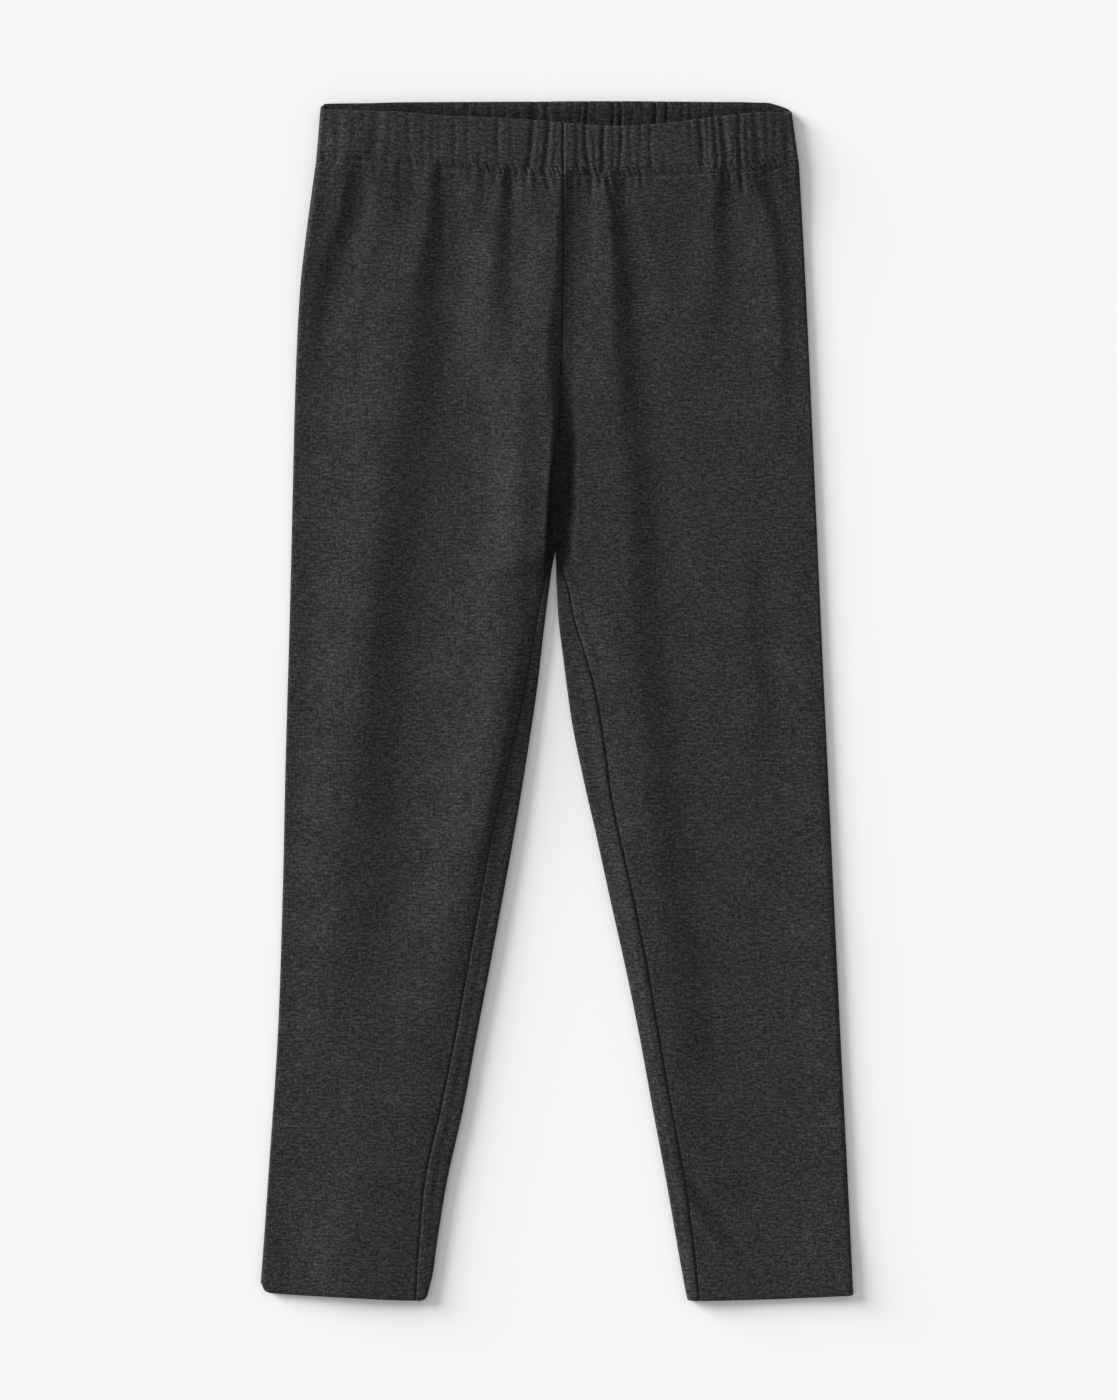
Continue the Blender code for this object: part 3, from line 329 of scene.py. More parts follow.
class Leg:
    """One leg panel. u is the distance from the middle of the garment towards this leg's outer fold."""

    def __init__(self, word):
        self.word = word
        self.side = LEG_SIDES[word]

    def bend(self, x, down, frontness=1.0):
        """The real distance down of a row of the cloth, once the waist and hem lines have bent it."""
        foot = mix(along(BACK_FOOT, x), along(FRONT_FOOT, x), frontness) + FOOT_GAP
        here = down + (foot - PANEL_TOP) * max(0.0, 1 - (down - PANEL_TOP) / WAIST_BEND_REACH)
        return here + (along(HEM_LINE, x) - HEM) * max(0.0, (down - (HEM - HEM_BEND_REACH)) / HEM_BEND_REACH)

    def set_row(self, down):
        """Works out what one row of the cloth has in common, before its heights are asked for: its inner edge (left),
        outer fold (right) and seam, and the heights of both edges."""
        self.down = down
        self.right = along(OUTER_FOLD[self.word], down)
        self.left = self.seam = self.side * along(CENTRE_SEAM, down) + HALF_SEAM
        if down >= CROTCH:
            self.left = along(INNER_EDGE[self.word], down)
            self.seam = self.left + along(INSEAM_IN[self.word], down)
        edge = mix(WAIST_EDGE_HEIGHT[self.word], EDGE_HEIGHT["leg"], ease((down - PANEL_TOP) / EDGE_REACH[self.word]))
        self.edge = mix(edge, EDGE_HEIGHT["hem"], ease((down - HEM_RISES_AT) / HEM_EDGE_REACH))
        self.inner_edge = along(INNER_HEIGHT[self.word], down)
        self.low = along(LOW_LOFT_SHARE[self.word], down)
        self.rows = []
        for crease in CREASES:
            x = along(crease.path, down)
            here = self.bend(x, down)
            if crease.path[0][0] - CREASE_LEAD <= here <= crease.path[-1][0]:
                line, drop, flank = (along(crease.path, here, column) for column in (1, 2, 3))
                self.rows.append((line, drop, flank, along(crease.floor, here), crease))
        self.level = 1 - ease((down - PANEL_TOP) / LEVEL_REACH[self.word])
        self.waist_lift = WAIST_LIFT * max(0.0, 1 - max(down - PANEL_TOP, 0.0) / WAIST_LIFT_REACH) ** 2
        self.needles = sum(dip(HEM - down - needle, NEEDLE_BREADTH) for needle in HEM_NEEDLES)

    def loose_height(self, x):
        """How far the front's outer face is lifted and lowered by its creases, gathers and uneven places."""
        below = self.down - PANEL_TOP
        height = HEM_LIFT[self.word] * ease((self.down - HEM_RISES_AT) / HEM_LIFT_REACH)
        height -= FOOT_FURROW * dip(below, FOOT_FURROW_BREADTH)
        for line, drop, flank, floor, crease in self.rows:
            height += crease_height(x - line, drop, flank, floor, crease)
        if below < PUCKERS_END:
            start = mix(PUCKER_START, 1, ease(below / PUCKER_START_REACH))
            for pucker in PUCKERS:
                level = 1 - ease(below / pucker.reach)
                if level > 0:
                    line = pucker.x + pucker.drift * max(below, 0) / pucker.reach
                    height -= level * start * pucker.depth * dip(x - line, pucker.half_width)
        shown = ease(below / UNEVEN_FROM_BAND)
        return height + unevenness(x, self.down) * shown * ease((HEM - self.down) / UNEVEN_FROM_HEM)

    def seam_height(self, past):
        """The ditch where two seamed edges meet, and the ridge that the allowance makes on its outer side."""
        ridge = ALLOWANCE_RIDGE * ease(past / ALLOWANCE_RISE) * ease((ALLOWANCE_WIDTH - past) / ALLOWANCE_FALL)
        return ridge - DITCH * dip(past, DITCH_HALF_WIDTH)

    def front_height(self, u):
        """Height of the front's outer face between the inner edge and the outer fold."""
        d, e = u - self.left, self.right - u
        loft = mix(along(LOFT[self.word], e), along(LOW_LOFT[self.word], e), self.low)
        z = mix(loft, LEVEL, self.level) + self.loose_height(self.side * u)
        z += self.waist_lift * ease(e / BAND_END_REACH[self.word])
        z = mix(self.edge, z, ease(e / along(FOLD_REACH[self.word], self.down)))
        if self.down > INNER_SLOPE_TOP:
            breadth = along(INNER_SLOPE[self.word], self.down)
            level_to = along(INNER_STRIP[self.word], self.down)
            sloped = mix(self.inner_edge, z, ease((d - level_to) / breadth))
            z = mix(z, sloped, ease((self.down - INNER_SLOPE_TOP) / INNER_SLOPE_COMES))
        z = max(z, LOWEST_FRONT)
        if self.down >= CROTCH:
            z = mix(self.inner_edge, z, ease(d / INNER_TURN))
            past = (self.seam - u) if self.side < 0 or self.down > ALLOWANCE_TURN else (u - self.seam)
            z += self.seam_height(past) * ease((self.down - CROTCH) / INSEAM_COMES)
        else:
            shown = 1 - ease((self.down - CENTRE_SEAM_GOES_FROM) / CENTRE_SEAM_GOES)
            z += self.seam_height(self.side * d) * shown
        z -= HEM_FURROW * self.needles
        lowest = LOWEST_SEAM
        edges = ((e, self.edge / 2, True), (d, self.inner_edge / 2, self.down >= CROTCH))
        for distance, radius, rounded in edges:
            if distance < radius:
                lowest = radius
                if rounded:
                    z -= radius * (1 - math.sqrt(max(0.0, 1 - (1 - distance / radius) ** 2)))
        return max(z, lowest)

    def lean(self, u):
        """How far the lip at the crotch leans outwards here, and its foot inwards."""
        overhang = along(LIP_OVERHANG, self.down)
        if self.side > 0 or not overhang:
            return 0.0
        offset = -u - along(LIP, self.down)
        lip = ease((offset + LIP_RISE_FROM) / LIP_RISE) * (1 - ease((offset + LIP_FALL_FROM) / LIP_FALL))
        return overhang * (lip - LIP_FOOT_SHARE * dip(offset - LIP_FOOT_AT, LIP_FOOT_BREADTH))

    def tucked(self, u):
        """How much painted shade darkens the cloth under the lip here, from 0 to 1: the fold's floor, where the shade
        falls.
        """
        offset = self.side * u - along(LIP, self.down)
        left = along(PAINTED_SHADE_BREADTH, self.down) + PAINTED_SHADE_PAST - offset
        within = ease((offset - PAINTED_SHADE_FROM) / PAINTED_SHADE_SOFT) * ease(left / PAINTED_SHADE_FAR_SOFT)
        return within * along(PAINTED_SHADE_DEPTH, self.down)

    def back_height(self, x):
        """Height of the outer face that lies on the surface."""
        lift = sum(
            dent.height * dip(x - along(dent.path, self.down), dent.half_width)
            * ease((self.down - dent.path[0][0]) / DENT_COMES) * ease((dent.path[-1][0] - self.down) / DENT_GOES)
            for dent in BACK_DENTS
        )
        return lift + HEM_BACK_LIFT * self.needles

    def front_line(self):
        """Fine points of the front, from its inner edge to the outer fold's furthest point."""
        radius = self.edge / 2
        curl = [1 - math.cos(angle) for angle in steps(0, math.pi / 2, 16)]
        if self.down < CROTCH:
            places = [self.left + c for c in (0, 0.25, 0.5, 0.8, 1.1, 1.5, 1.9)]
        else:
            places = [self.left + self.inner_edge / 2 * c for c in curl]
        start, end = places[-1] + 0.2, self.right - radius
        by_seam = [self.seam + c for c in (-1.6, -1.2, -0.9, -0.6, -0.4, -0.2, 0, 0.2, 0.4, 0.6, 0.9, 1.2, 1.6)]
        places += sorted(steps(start, end, 190) + [place for place in by_seam if start < place < end])
        places += [end, *(self.right - radius * c for c in reversed(curl))]
        return [(u - self.lean(u), self.front_height(u)) for u in places]

    def back_line(self):
        """Fine points from the outer fold's furthest point, under, to the centre back seam or the inner edge."""
        radius = self.edge / 2
        rising = LOWEST_SEAM if self.down < CROTCH else self.inner_edge / 2
        curl = math.pi / 2 * ease((self.down - CROTCH + BACK_CURL_COMES) / BACK_CURL_COMES)
        end = self.left + rising * math.sin(curl)
        points = [(self.right - radius * (1 - math.cos(angle)), radius * (1 - math.sin(angle)))
                  for angle in steps(0, math.pi / 2, 12)]
        points += [(u, self.back_height(self.side * u)) for u in steps(self.right - radius, end, 90)]
        points += [(end - rising * math.sin(angle), rising * (1 - math.cos(angle)))
                   for angle in steps(0, curl, 12) + [curl]]
        return points

    def seam_run(self):
        """Length of cloth between the inner edge's furthest point and the inseam."""
        radius = self.edge / 2
        offset = self.seam - self.left
        if offset < radius:
            return radius * math.acos(1 - max(offset, 0.0) / radius)
        return math.pi / 2 * radius + offset - radius


class Line:
    """A run of points that can be asked for its place at any distance along it. A line that lies in a section of the
    cloth can be asked for its outward normal too."""

    def __init__(self, points):
        self.points, self.along = [points[0]], [0.0]
        for point in points[1:]:
            step = math.dist(point, self.points[-1])
            if step > LEAST_STEP:
                self.points.append(point)
                self.along.append(self.along[-1] + step)
        self.length = self.along[-1]

    def at(self, s):
        s = min(max(s, 0.0), self.length)
        k = max(bisect_left(self.along, s), 1)
        t = (s - self.along[k - 1]) / (self.along[k] - self.along[k - 1])
        return tuple(mix(a, b, t) for a, b in zip(self.points[k - 1], self.points[k]))

    def normal(self, s):
        a, b = self.at(s - NORMAL_REACH), self.at(s + NORMAL_REACH)
        length = math.dist(a, b)
        return -(b[1] - a[1]) / length, (b[0] - a[0]) / length


LEAST_STEP = 1e-4
NORMAL_REACH = 0.3
BACK_CURL_COMES = 16
# Columns of the cloth's mesh: close ones by the seam's edge, then the rest of the front, the fold and the back.
SEAM_COLUMNS, SEAM_STRIP = (0, 0.3, 0.6, 0.95, 1.4, 2.0, 2.7), 3.4
FRONT_COLUMNS, FOLD_COLUMNS, BACK_COLUMNS = 170, (6, 5), 36
BACK_STRIP = 5.0
# A spot's last field is its share of painted shade, which darkens its colour.
Spot = namedtuple("Spot", "place u z nu nz frontness sink tucked")


def leg_section(leg, down):
    """The spots of one row of cloth, from the front's seam edge round the outer fold and back to the other edge."""
    leg.set_row(down)
    front, back = Line(leg.front_line()), Line(leg.back_line())
    quarter = math.pi / 4 * leg.edge
    seam = leg.seam_run()
    gap = HALF_SEAM if down >= CROTCH else 0.0
    outer = front.length - quarter
    places = [seam + gap + s for s in SEAM_COLUMNS] + steps(seam + gap + SEAM_STRIP, outer, FRONT_COLUMNS)
    places += steps(outer, front.length, FOLD_COLUMNS[0])
    places = [place - front.length for place in places]
    end = back.length + seam - gap
    knots = [end]
    for width, least in ((max(seam - quarter, 0.0), 1.6), (min(quarter, seam), 0.8), (quarter, 1.0),
                         (BACK_STRIP, BACK_STRIP)):
        knots.insert(0, knots[0] - max(width, least))
    places += steps(0.0, quarter, FOLD_COLUMNS[1]) + steps(quarter, knots[0], BACK_COLUMNS)
    places += steps(knots[0], knots[1], 3) + steps(knots[1], knots[2], 4) + steps(knots[2], knots[3], 4)
    places += [end - (end - knots[3]) * (1 - t) ** 1.6 for t in steps(0, 1, 12)] + [end]
    spots = []
    for place in places:
        if place < 0:
            line, s, frontness = front, front.length + place, 1.0
        elif place <= back.length:
            line, s, frontness = back, place, 0.0
        else:
            line, s, frontness = front, place - back.length, 1.0
        (u, z), (nu, nz) = line.at(s), line.normal(s)
        if abs(place) < quarter:
            frontness = min(max(z / leg.edge, 0.0), 1.0)
        spots.append(Spot(place, u, z, nu, nz, frontness, 0.0, leg.tucked(u) if frontness == 1 else 0.0))
    return [spots[0]._replace(sink=EDGE_SINK), *spots, spots[-1]._replace(sink=EDGE_SINK)]


def leg_row(leg, down, section, depth, lower):
    """A row of points at a depth inside the outer face, moved along the leg by lower."""
    row = []
    for spot in section:
        inwards = depth + spot.sink
        x = leg.side * (spot.u - spot.nu * inwards)
        row.append((x, leg.bend(leg.side * spot.u, down, spot.frontness) + lower, spot.z - spot.nz * inwards))
    return row


def in_metres(point):
    """A point (x, down, z) of the pattern as a place in the scene."""
    x, down, z = point
    return Vector((x * MM, (LENGTH / 2 - down) * MM, z * MM))


def sheet_through(rows):
    """A sheet of faces through rows of points."""
    mesh = bmesh.new()
    grid = bmesh.ops.create_grid(mesh, x_segments=len(rows[0]) - 1, y_segments=len(rows) - 1, size=1)
    for vert, point in zip(grid["verts"], (point for row in rows for point in row)):
        vert.co = in_metres(point)
    return mesh


def finished_object(name, mesh, finish):
    """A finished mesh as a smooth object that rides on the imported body."""
    data = bpy.data.meshes.new(name)
    mesh.to_mesh(data)
    mesh.free()
    data.materials.append(finish)
    data.shade_smooth()
    piece = bpy.data.objects.new(name, data)
    bpy.context.scene.collection.objects.link(piece)
    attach(piece, "root")
    return piece


def thicken(piece, thickness, offset):
    """Gives a sheet its thickness, behind its face (offset -1) or to both sides (offset 0)."""
    wall = piece.modifiers.new("thickness", "SOLIDIFY")
    wall.thickness = thickness * MM
    wall.offset = offset


def cloth_piece(name, rows, grain_rows, painted_shade_rows, turned):
    """One piece of cloth through rows of points. Its grain is a UV map at real size, in metres, and its thickness
    lies behind its outer face. painted_shade_rows give each point's painted shade, which darkens its colour where
    shade falls in folds, and turned says that the rows run against the outer face."""
    mesh = sheet_through(rows)
    mesh.verts.index_update()
    # The painted shade goes on each point as a float attribute that the jersey reads.
    tucked = mesh.verts.layers.float.new("tucked")
    for vert, share in zip(mesh.verts, (share for row in painted_shade_rows for share in row)):
        vert[tucked] = share
    grain = mesh.loops.layers.uv.new("grain")
    places = [(across * MM + 0.4, along_cloth * MM) for row in grain_rows for across, along_cloth in row]
    for face in mesh.faces:
        for loop in face.loops:
            loop[grain].uv = places[loop.vert.index]
    if turned:
        bmesh.ops.reverse_faces(mesh, faces=mesh.faces)
    piece = finished_object(name, mesh, jersey)
    thicken(piece, JERSEY_THICK, -1)
    return piece


class Amount:
    """A number that a finish works out at each point, so that sums on it become its Math nodes."""

    def __init__(self, finish, socket):
        self.finish, self.socket = finish, socket

    def sum_with(self, operation, other):
        return self.finish.node("Math", {0: self, 1: other}, operation=operation)

    def __add__(self, other):
        return self.sum_with("ADD", other)

    def __sub__(self, other):
        return self.sum_with("SUBTRACT", other)

    def __mul__(self, other):
        return self.sum_with("MULTIPLY", other)

    __radd__ = __add__


class Finish:
    """A material, and the one way that its nodes are made."""

    def __init__(self, name):
        self.material = bpy.data.materials.new(name)
        self.material.use_nodes = True
        self.nodes = self.material.node_tree.nodes
        self.links = self.material.node_tree.links
        self.surface = self.nodes["Principled BSDF"]

    def node(self, kind, sockets=None, output=0, **settings):
        """A new node with its settings, then the values or links of its sockets. Returns one of its outputs."""
        made = self.nodes.new("ShaderNode" + kind)
        for setting, value in settings.items():
            if setting == "stops":
                ramp = made.color_ramp.elements
                while len(ramp) < len(value):
                    ramp.new(0.5)
                for stop, (position, shade) in zip(ramp, value):
                    stop.position, stop.color = position, (*shade, 1)
            else:
                setattr(made, setting, value)
        self.fill(made, sockets or {})
        return Amount(self, made.outputs[output])

    def fill(self, made, sockets):
        for socket, value in sockets.items():
            if isinstance(value, Amount):
                self.links.new(value.socket, made.inputs[socket])
            else:
                made.inputs[socket].default_value = value

    def blend(self, share, first, second):
        """Two colours mixed."""
        return self.node("Mix", {0: share, 6: first, 7: second}, 2, data_type="RGBA")


CHARCOAL = (0.0256, 0.0256, 0.0241)
# The ground colour's strength along the yarn's tones, from the dark fibres to the pale ones, and in a fleck.
YARN_TONES = ((0.0, 0.34), (0.3, 0.7), (0.5, 1.0), (0.72, 1.45), (1.0, 2.3))
FLECK_TONE, FLECK_SHARE = 3.2, 0.42
WALE, COURSE = 0.72, 0.56
# How much of its colour the cloth loses to painted shade where that shade is deepest.
FOLD_SHADE = 0.52


def shaded(colour, strength):
    return [c * strength for c in colour]


def melange_jersey(name, ground):
    """Single jersey of mixed dark and pale fibres. The pale ones show as soft flecks and short streaks along the
    courses, and the knit as fine upright wales. Painted shade darkens its colour in deep folds."""
    finish = Finish(name)
    grain = finish.node("UVMap", uv_map="grain")

    def speckle(across, along_leg, detail, roughness, shift):
        """Noise in spots of this size in millimetres."""
        placed = finish.node("Mapping", {"Vector": grain, "Location": (shift, 0.37 * shift, 0),
                                         "Scale": (1 / (across * MM), 1 / (along_leg * MM), 1)})
        return finish.node("TexNoise", {"Vector": placed, "Scale": 1.0, "Detail": detail, "Roughness": roughness})

    blots = speckle(1.7, 1.25, 2.0, 0.6, 3.0)
    streaks = speckle(5.2, 1.15, 2.0, 0.55, 11.0)
    fibres = speckle(0.8, 0.55, 1.0, 0.5, 23.0)
    clouds = speckle(26.0, 17.0, 2.0, 0.5, 41.0)
    pale = speckle(2.2, 1.2, 1.0, 0.4, 57.0)
    flecks = finish.node("ValToRGB", {0: pale}, stops=[(0.63, (0, 0, 0)), (0.76, (1, 1, 1))])
    tone = (blots - 0.5) * 2.1 + (streaks - 0.5) * 1.4 + (fibres - 0.5) * 1.3 + (clouds - 0.5) * 0.35 + 0.5
    yarn = finish.node("ValToRGB", {0: tone}, stops=[(at, shaded(ground, strength)) for at, strength in YARN_TONES])
    colour = finish.blend(flecks * FLECK_SHARE, yarn, (*shaded(ground, FLECK_TONE), 1))
    # Painted shade: the colour is drawn towards black by the painted shade attribute, in the crotch fold and on the
    # back of the band.
    tucked = finish.node("Attribute", output=2, attribute_name="tucked")
    colour = finish.blend(tucked * FOLD_SHADE, colour, (0, 0, 0, 1))

    across = finish.node("SeparateXYZ", {0: grain})
    down = Amount(finish, across.socket.node.outputs[1])
    wales = finish.node("Math", {0: across * (2 * math.pi / (WALE * MM))}, operation="SINE")
    courses = finish.node("Math", {0: down * (2 * math.pi / (COURSE * MM))}, operation="SINE")
    relief = wales * 0.22 + courses * 0.12 + blots * 0.9 + fibres * 0.8
    bump = finish.node("Bump", {"Strength": 0.55, "Distance": 0.00025, "Height": relief})
    finish.fill(finish.surface, {
        "Base Color": colour, "Roughness": (blots - 0.5) * 0.16 + 0.82, "Normal": bump,
        "Sheen Weight": 0.03, "Sheen Roughness": 0.5, "Sheen Tint": (0.85, 0.85, 0.84, 1), "IOR": 1.4,
        "Specular IOR Level": 0.12,
    })
    return finish.material


jersey = melange_jersey("charcoal melange jersey", CHARCOAL)

# Rows of the cloth's mesh, closer where it is gathered, at the crotch and by the hem's needle rows.
NEEDLES_FROM, NEEDLES_TO = HEM - HEM_NEEDLES[1] - 1.6, HEM - HEM_NEEDLES[0] + 1.6
LEG_ROWS = (
    steps(PANEL_TOP, 52, 22) + steps(52, 70, 9) + steps(70, 205, 34) + steps(205, 228, 10) + steps(228, 262, 24)
    + steps(262, 590, 60) + steps(590, NEEDLES_FROM, 3) + steps(NEEDLES_FROM, NEEDLES_TO, 10)
    + steps(NEEDLES_TO, HEM - 1, 5)
)

# Every row of the mesh: its distance down, its depth inside the outer face, how far it is moved along the leg, its
# place on the cut cloth, and whether it can take painted shade. After the leg's own rows come the turn of the hem and
# the layer turned up inside.
turn = 2 * JERSEY_THICK + TURN_UP_GAP
levels = [(down, 0.0, 0.0, down, True) for down in LEG_ROWS]
levels += [(HEM, turn / 2 * (1 - math.cos(angle)), turn / 2 * (math.sin(angle) - 1), HEM - 1 + turn / 2 * angle,
            False) for angle in steps(0, math.pi, 6)]
levels += [(HEM - up, turn, 0.0, HEM + 1.5 + up, False) for up in (1.0, 4.0, 9.0, 14.0, 18.0, TURN_UP)]

legs = {word: Leg(word) for word in LEG_SIDES}
for word, leg in legs.items():
    rows, grain_rows, painted_shade_rows = [], [], []
    for down, depth, lower, cut, takes_painted_shade in levels:
        section = leg_section(leg, down)
        rows.append(leg_row(leg, down, section, depth, lower))
        grain_rows.append([(spot.place, cut) for spot in section])
        painted_shade_rows.append([spot.tucked * takes_painted_shade for spot in section])
    piece = cloth_piece(f"leg_cloth_{word}", rows, grain_rows, painted_shade_rows, leg.side > 0)
    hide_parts(f"leg_panel_{word}")


# ---- The waistband's cloth -------------------------------------------
# The same jersey turned down over a broad elastic and held by a twin-needle row at its foot, in a right and a left
# half that meet at the centre front and back. The elastic draws it in, so it stands in small upright gathers, with
# deeper ones on the inside of the back, which shows above the front's lower edge.
FRONT_TOP = (
    (-123, 4.4), (-106, 5.3), (-82, 5.9), (-70, 7.2), (-58, 8), (-34, 8.9), (-10, 10.4), (14, 12.6), (34, 13.4),
    (52, 12.3), (70, 10.2), (86, 8), (96, 6.9), (104, 6.2), (114, 5.8), (123, 6.4),
)
BACK_TOP = (
    (-123, 1.6), (-120, 1), (-112, 0.85), (-97, 0.9), (-82, 0.6), (-58, 0.45), (-34, 0.3), (-10, 0.2), (14, 0),
    (34, 0), (52, 0.1), (70, 0.25), (86, 0.45), (95, 0.4), (104, 0.5), (110, 0.6), (113, 1.3), (116, 2.2),
    (118.6, 3.1), (123, 5),
)
# Painted shade on the back of the band, for the dark of the waist opening, against x, as a share of the deepest
# painted shade. It is meant for the back's inside, but lies on its outer face too.
OPENING_SHADE = (
    (-123, 0.8), (-80, 0.75), (-50, 0.4), (40, 0.35), (80, 0.35), (112, 0.35), (118, 0.1), (123, 0.0)
)
# A gather's depth is a share of the ridge's height, and it leans over by this much from foot to top.
Gather = namedtuple("Gather", "x depth half_width lean")
FRONT_GATHERS = [Gather(*row) for row in (
    (-120, 0.65, 2.7, -0.6), (-113.7, 0.8, 3.2, -0.4), (-105.2, 0.34, 1.35, 0.3), (-99.8, 0.21, 1.24, 0),
    (-94, 0.8, 3.2, -2), (-86.6, 0.34, 1.46, 0), (-82, 0.21, 1.12, 0.4), (-76.5, 0.44, 1.46, 0.6),
    (-69, 0.34, 1.35, 0), (-64.4, 0.39, 1.24, -0.5), (-60.6, 0.34, 1.12, 0), (-53, 0.38, 1.08, 0.4),
    (-46.2, 0.46, 1.17, 0.5), (-40.2, 0.3, 1.08, 0.3), (-30.4, 0.5, 1.26, 0.6), (-23.6, 0.3, 0.99, 0),
    (-13.6, 0.9, 1.4, -1.9), (-9.4, 0.3, 0.9, -1), (-5.6, 0.95, 1.4, -3.9), (-1, 0.4, 0.8, -1.4),
    (11, 0.5, 0.9, 0.3), (15.3, 1, 1.1, 2.6), (19.6, 0.3, 0.8, 1), (24, 0.95, 1.1, -0.8), (29.4, 0.45, 0.9, 0),
    (33.3, 0.75, 1.1, -1.3), (38.2, 0.4, 1, -0.6), (43.6, 0.4, 1.1, 0), (48.7, 0.6, 1, 0), (56, 0.15, 1.4, 0),
    (64.4, 0.35, 1.1, 0.8), (69.6, 0.3, 1, 1), (75, 0.83, 1.49, 2.2), (78.6, 0.44, 1.03, 1.6),
    (82.6, 0.88, 1.15, 2.2), (87, 1, 1.95, 3.5), (91.4, 0.44, 0.92, 1), (94.8, 0.94, 1.26, 1), (99, 0.55, 1.15, 1.2),
    (104.2, 1, 2.18, 3), (109.6, 0.77, 1.84, 1.4), (113.4, 0.66, 1.38, 1.2), (120, 0.99, 2.07, 2),
)]
BACK_GATHERS = [Gather(*row) for row in (
    (-117, 0.3, 1.1, 0), (-109.4, 0.36, 1.02, 0.6), (-102, 0.24, 0.94, 0), (-96.4, 0.36, 1.1, -0.8),
    (-89.4, 0.3, 0.94, 0), (-82.7, 0.36, 1.02, 0.5), (-75.4, 0.3, 0.94, 0), (-68.6, 0.36, 1.1, -0.5),
    (-64, 0.24, 0.77, 0), (-59.3, 0.5, 0.63, 0.3), (-53.2, 0.3, 0.94, 0), (-46.4, 0.48, 1.1, 0.4),
    (-41.4, 0.36, 0.85, 0), (-34.8, 0.34, 1.02, -0.4), (-27, 0.34, 1.02, 0), (-19.2, 0.36, 1.02, 0.5),
    (-10.9, 0.9, 2.4, 0.3), (-4.7, 0.8, 1.6, 0.4), (1.6, 0.24, 0.77, 0), (7.8, 0.5, 0.63, -0.6),
    (12.3, 0.46, 0.68, 0.4), (15.9, 1, 0.74, 1.2), (20.3, 0.36, 0.68, 0.6), (29.1, 1, 0.53, 0.2),
    (33.5, 1, 0.58, 0.8), (39, 0.21, 0.77, 0), (44.7, 0.4, 1.1, 0), (51.3, 1, 0.68, 0.2), (57.2, 1, 0.63, 0),
    (65, 0.46, 1.02, 0), (69.5, 0.4, 0.77, 0), (75.4, 0.5, 0.63, 0.3), (80.9, 0.42, 0.85, 0),
    (87.9, 0.34, 0.94, 0.5), (94, 0.3, 0.85, 0), (99.6, 0.36, 0.94, 0), (106, 0.3, 0.94, 0), (112.4, 0.3, 1.02, 0),
    (118.6, 0.3, 1.1, 0),
)]
# The cloth is crimped finely between the needle rows, most of all where the gathers are deepest.
CRIMPS = tuple(
    Gather(-121.0 + 1.66 * k + 0.5 * math.sin(3.7 * k), 0.5 + 0.45 * math.sin(2.3 * k + 1.0), 0.46, 0.0)
    for k in range(147)
)
CRIMPED = ((-123, 0.25), (-60, 0.35), (-30, 1), (40, 1), (52, 0.45), (74, 0.3), (82, 1), (112, 1), (123, 0.4))
CRIMP_DEPTH, CRIMP_SLANT, CRIMP_LEVEL = 1.05, 0.9, 0.6
CRIMP_TOP, CRIMP_FADE = 7.0, 3.0
BAND_HEIGHT = 28.0
BAND_HALF = 1.05
BAND_MIDDLE = 6.0
BAND_MIDDLE_AT_ENDS = {"right": 5.2, "left": 3.35}
BAND_NARROWING = {"right": 2.4, "left": 3.8}
END_RADIUS = {"outer": 2.2, "inner": 0.1}
FOOT_WALL = 1.5
BAND_SEAM = 0.03
BAND_SEAM_RIDGE, BAND_SEAM_DITCH, BAND_SEAM_WIDTH = 0.4, 0.7, 6.6
LAYER_GAP = 0.03
# Shares of the way up the band: where it is free of its foot, where it starts to turn over, and the back's puff.
PINCHED, SHOULDER = 0.2, 0.985
PUFF_FROM, PUFF_OVER = 0.55, 0.42
GATHER_WANDER, GATHER_FADE, GATHER_SPAN = 1.1, 1.5, 3
BAND_NEEDLES = (0.3, 4.4)
NEEDLE_FURROW, FURROW_BREADTH, NEEDLE_BACK_LIFT = 0.42, 0.5, 0.2
# Ridges stand on a level that is this share of a gather, and are lower at the band's ends.
RIDGE_LEVEL, END_RIDGE = 0.1, 0.4
FRONT_RIDGE, BACK_RIDGE, BACK_PUFF = 1.3, 1.25, 2.0
BACK_END_REACH = 34.0
BAND_COLUMNS, BACK_COLUMN_SHARE = 270, 0.66


def fullness(gathers, x, share_up):
    """0 in the deepest gather and 1 on a full ridge, at this x and share of the way up the waistband. A gather
    wanders a little on its way up, and comes and goes."""
    level = 1.0
    for gather in gathers:
        offset = x - gather.x - gather.lean * (0.5 - share_up)
        if abs(offset) < GATHER_SPAN * gather.half_width + GATHER_WANDER:
            offset += GATHER_WANDER * noise.noise(Vector((gather.x * 3.1, share_up * 2.6, 5.0)))
            faded = 0.5 + noise.noise(Vector((gather.x * 1.7, share_up * 3.2, 2.0)))
            kept = 1 - GATHER_FADE * (1 - gather.depth) * faded
            level *= 1 - gather.depth * kept * dip(offset, gather.half_width)
    return level


def centre_seam_height(x):
    """The centre seam's ditch, and the ridge of its allowance on the wearer's left."""
    past = x - CENTRE_SEAM[0][1]
    return BAND_SEAM_RIDGE * ease(past) * ease((BAND_SEAM_WIDTH - past) / 1.4) - BAND_SEAM_DITCH * dip(past, 0.6)


def joint_height(x):
    """Height of the leg's cloth where the foot of the waistband meets it."""
    leg = legs["left" if x > CENTRE_SEAM[0][1] else "right"]
    return leg.front_height(max(leg.side * x, leg.left))


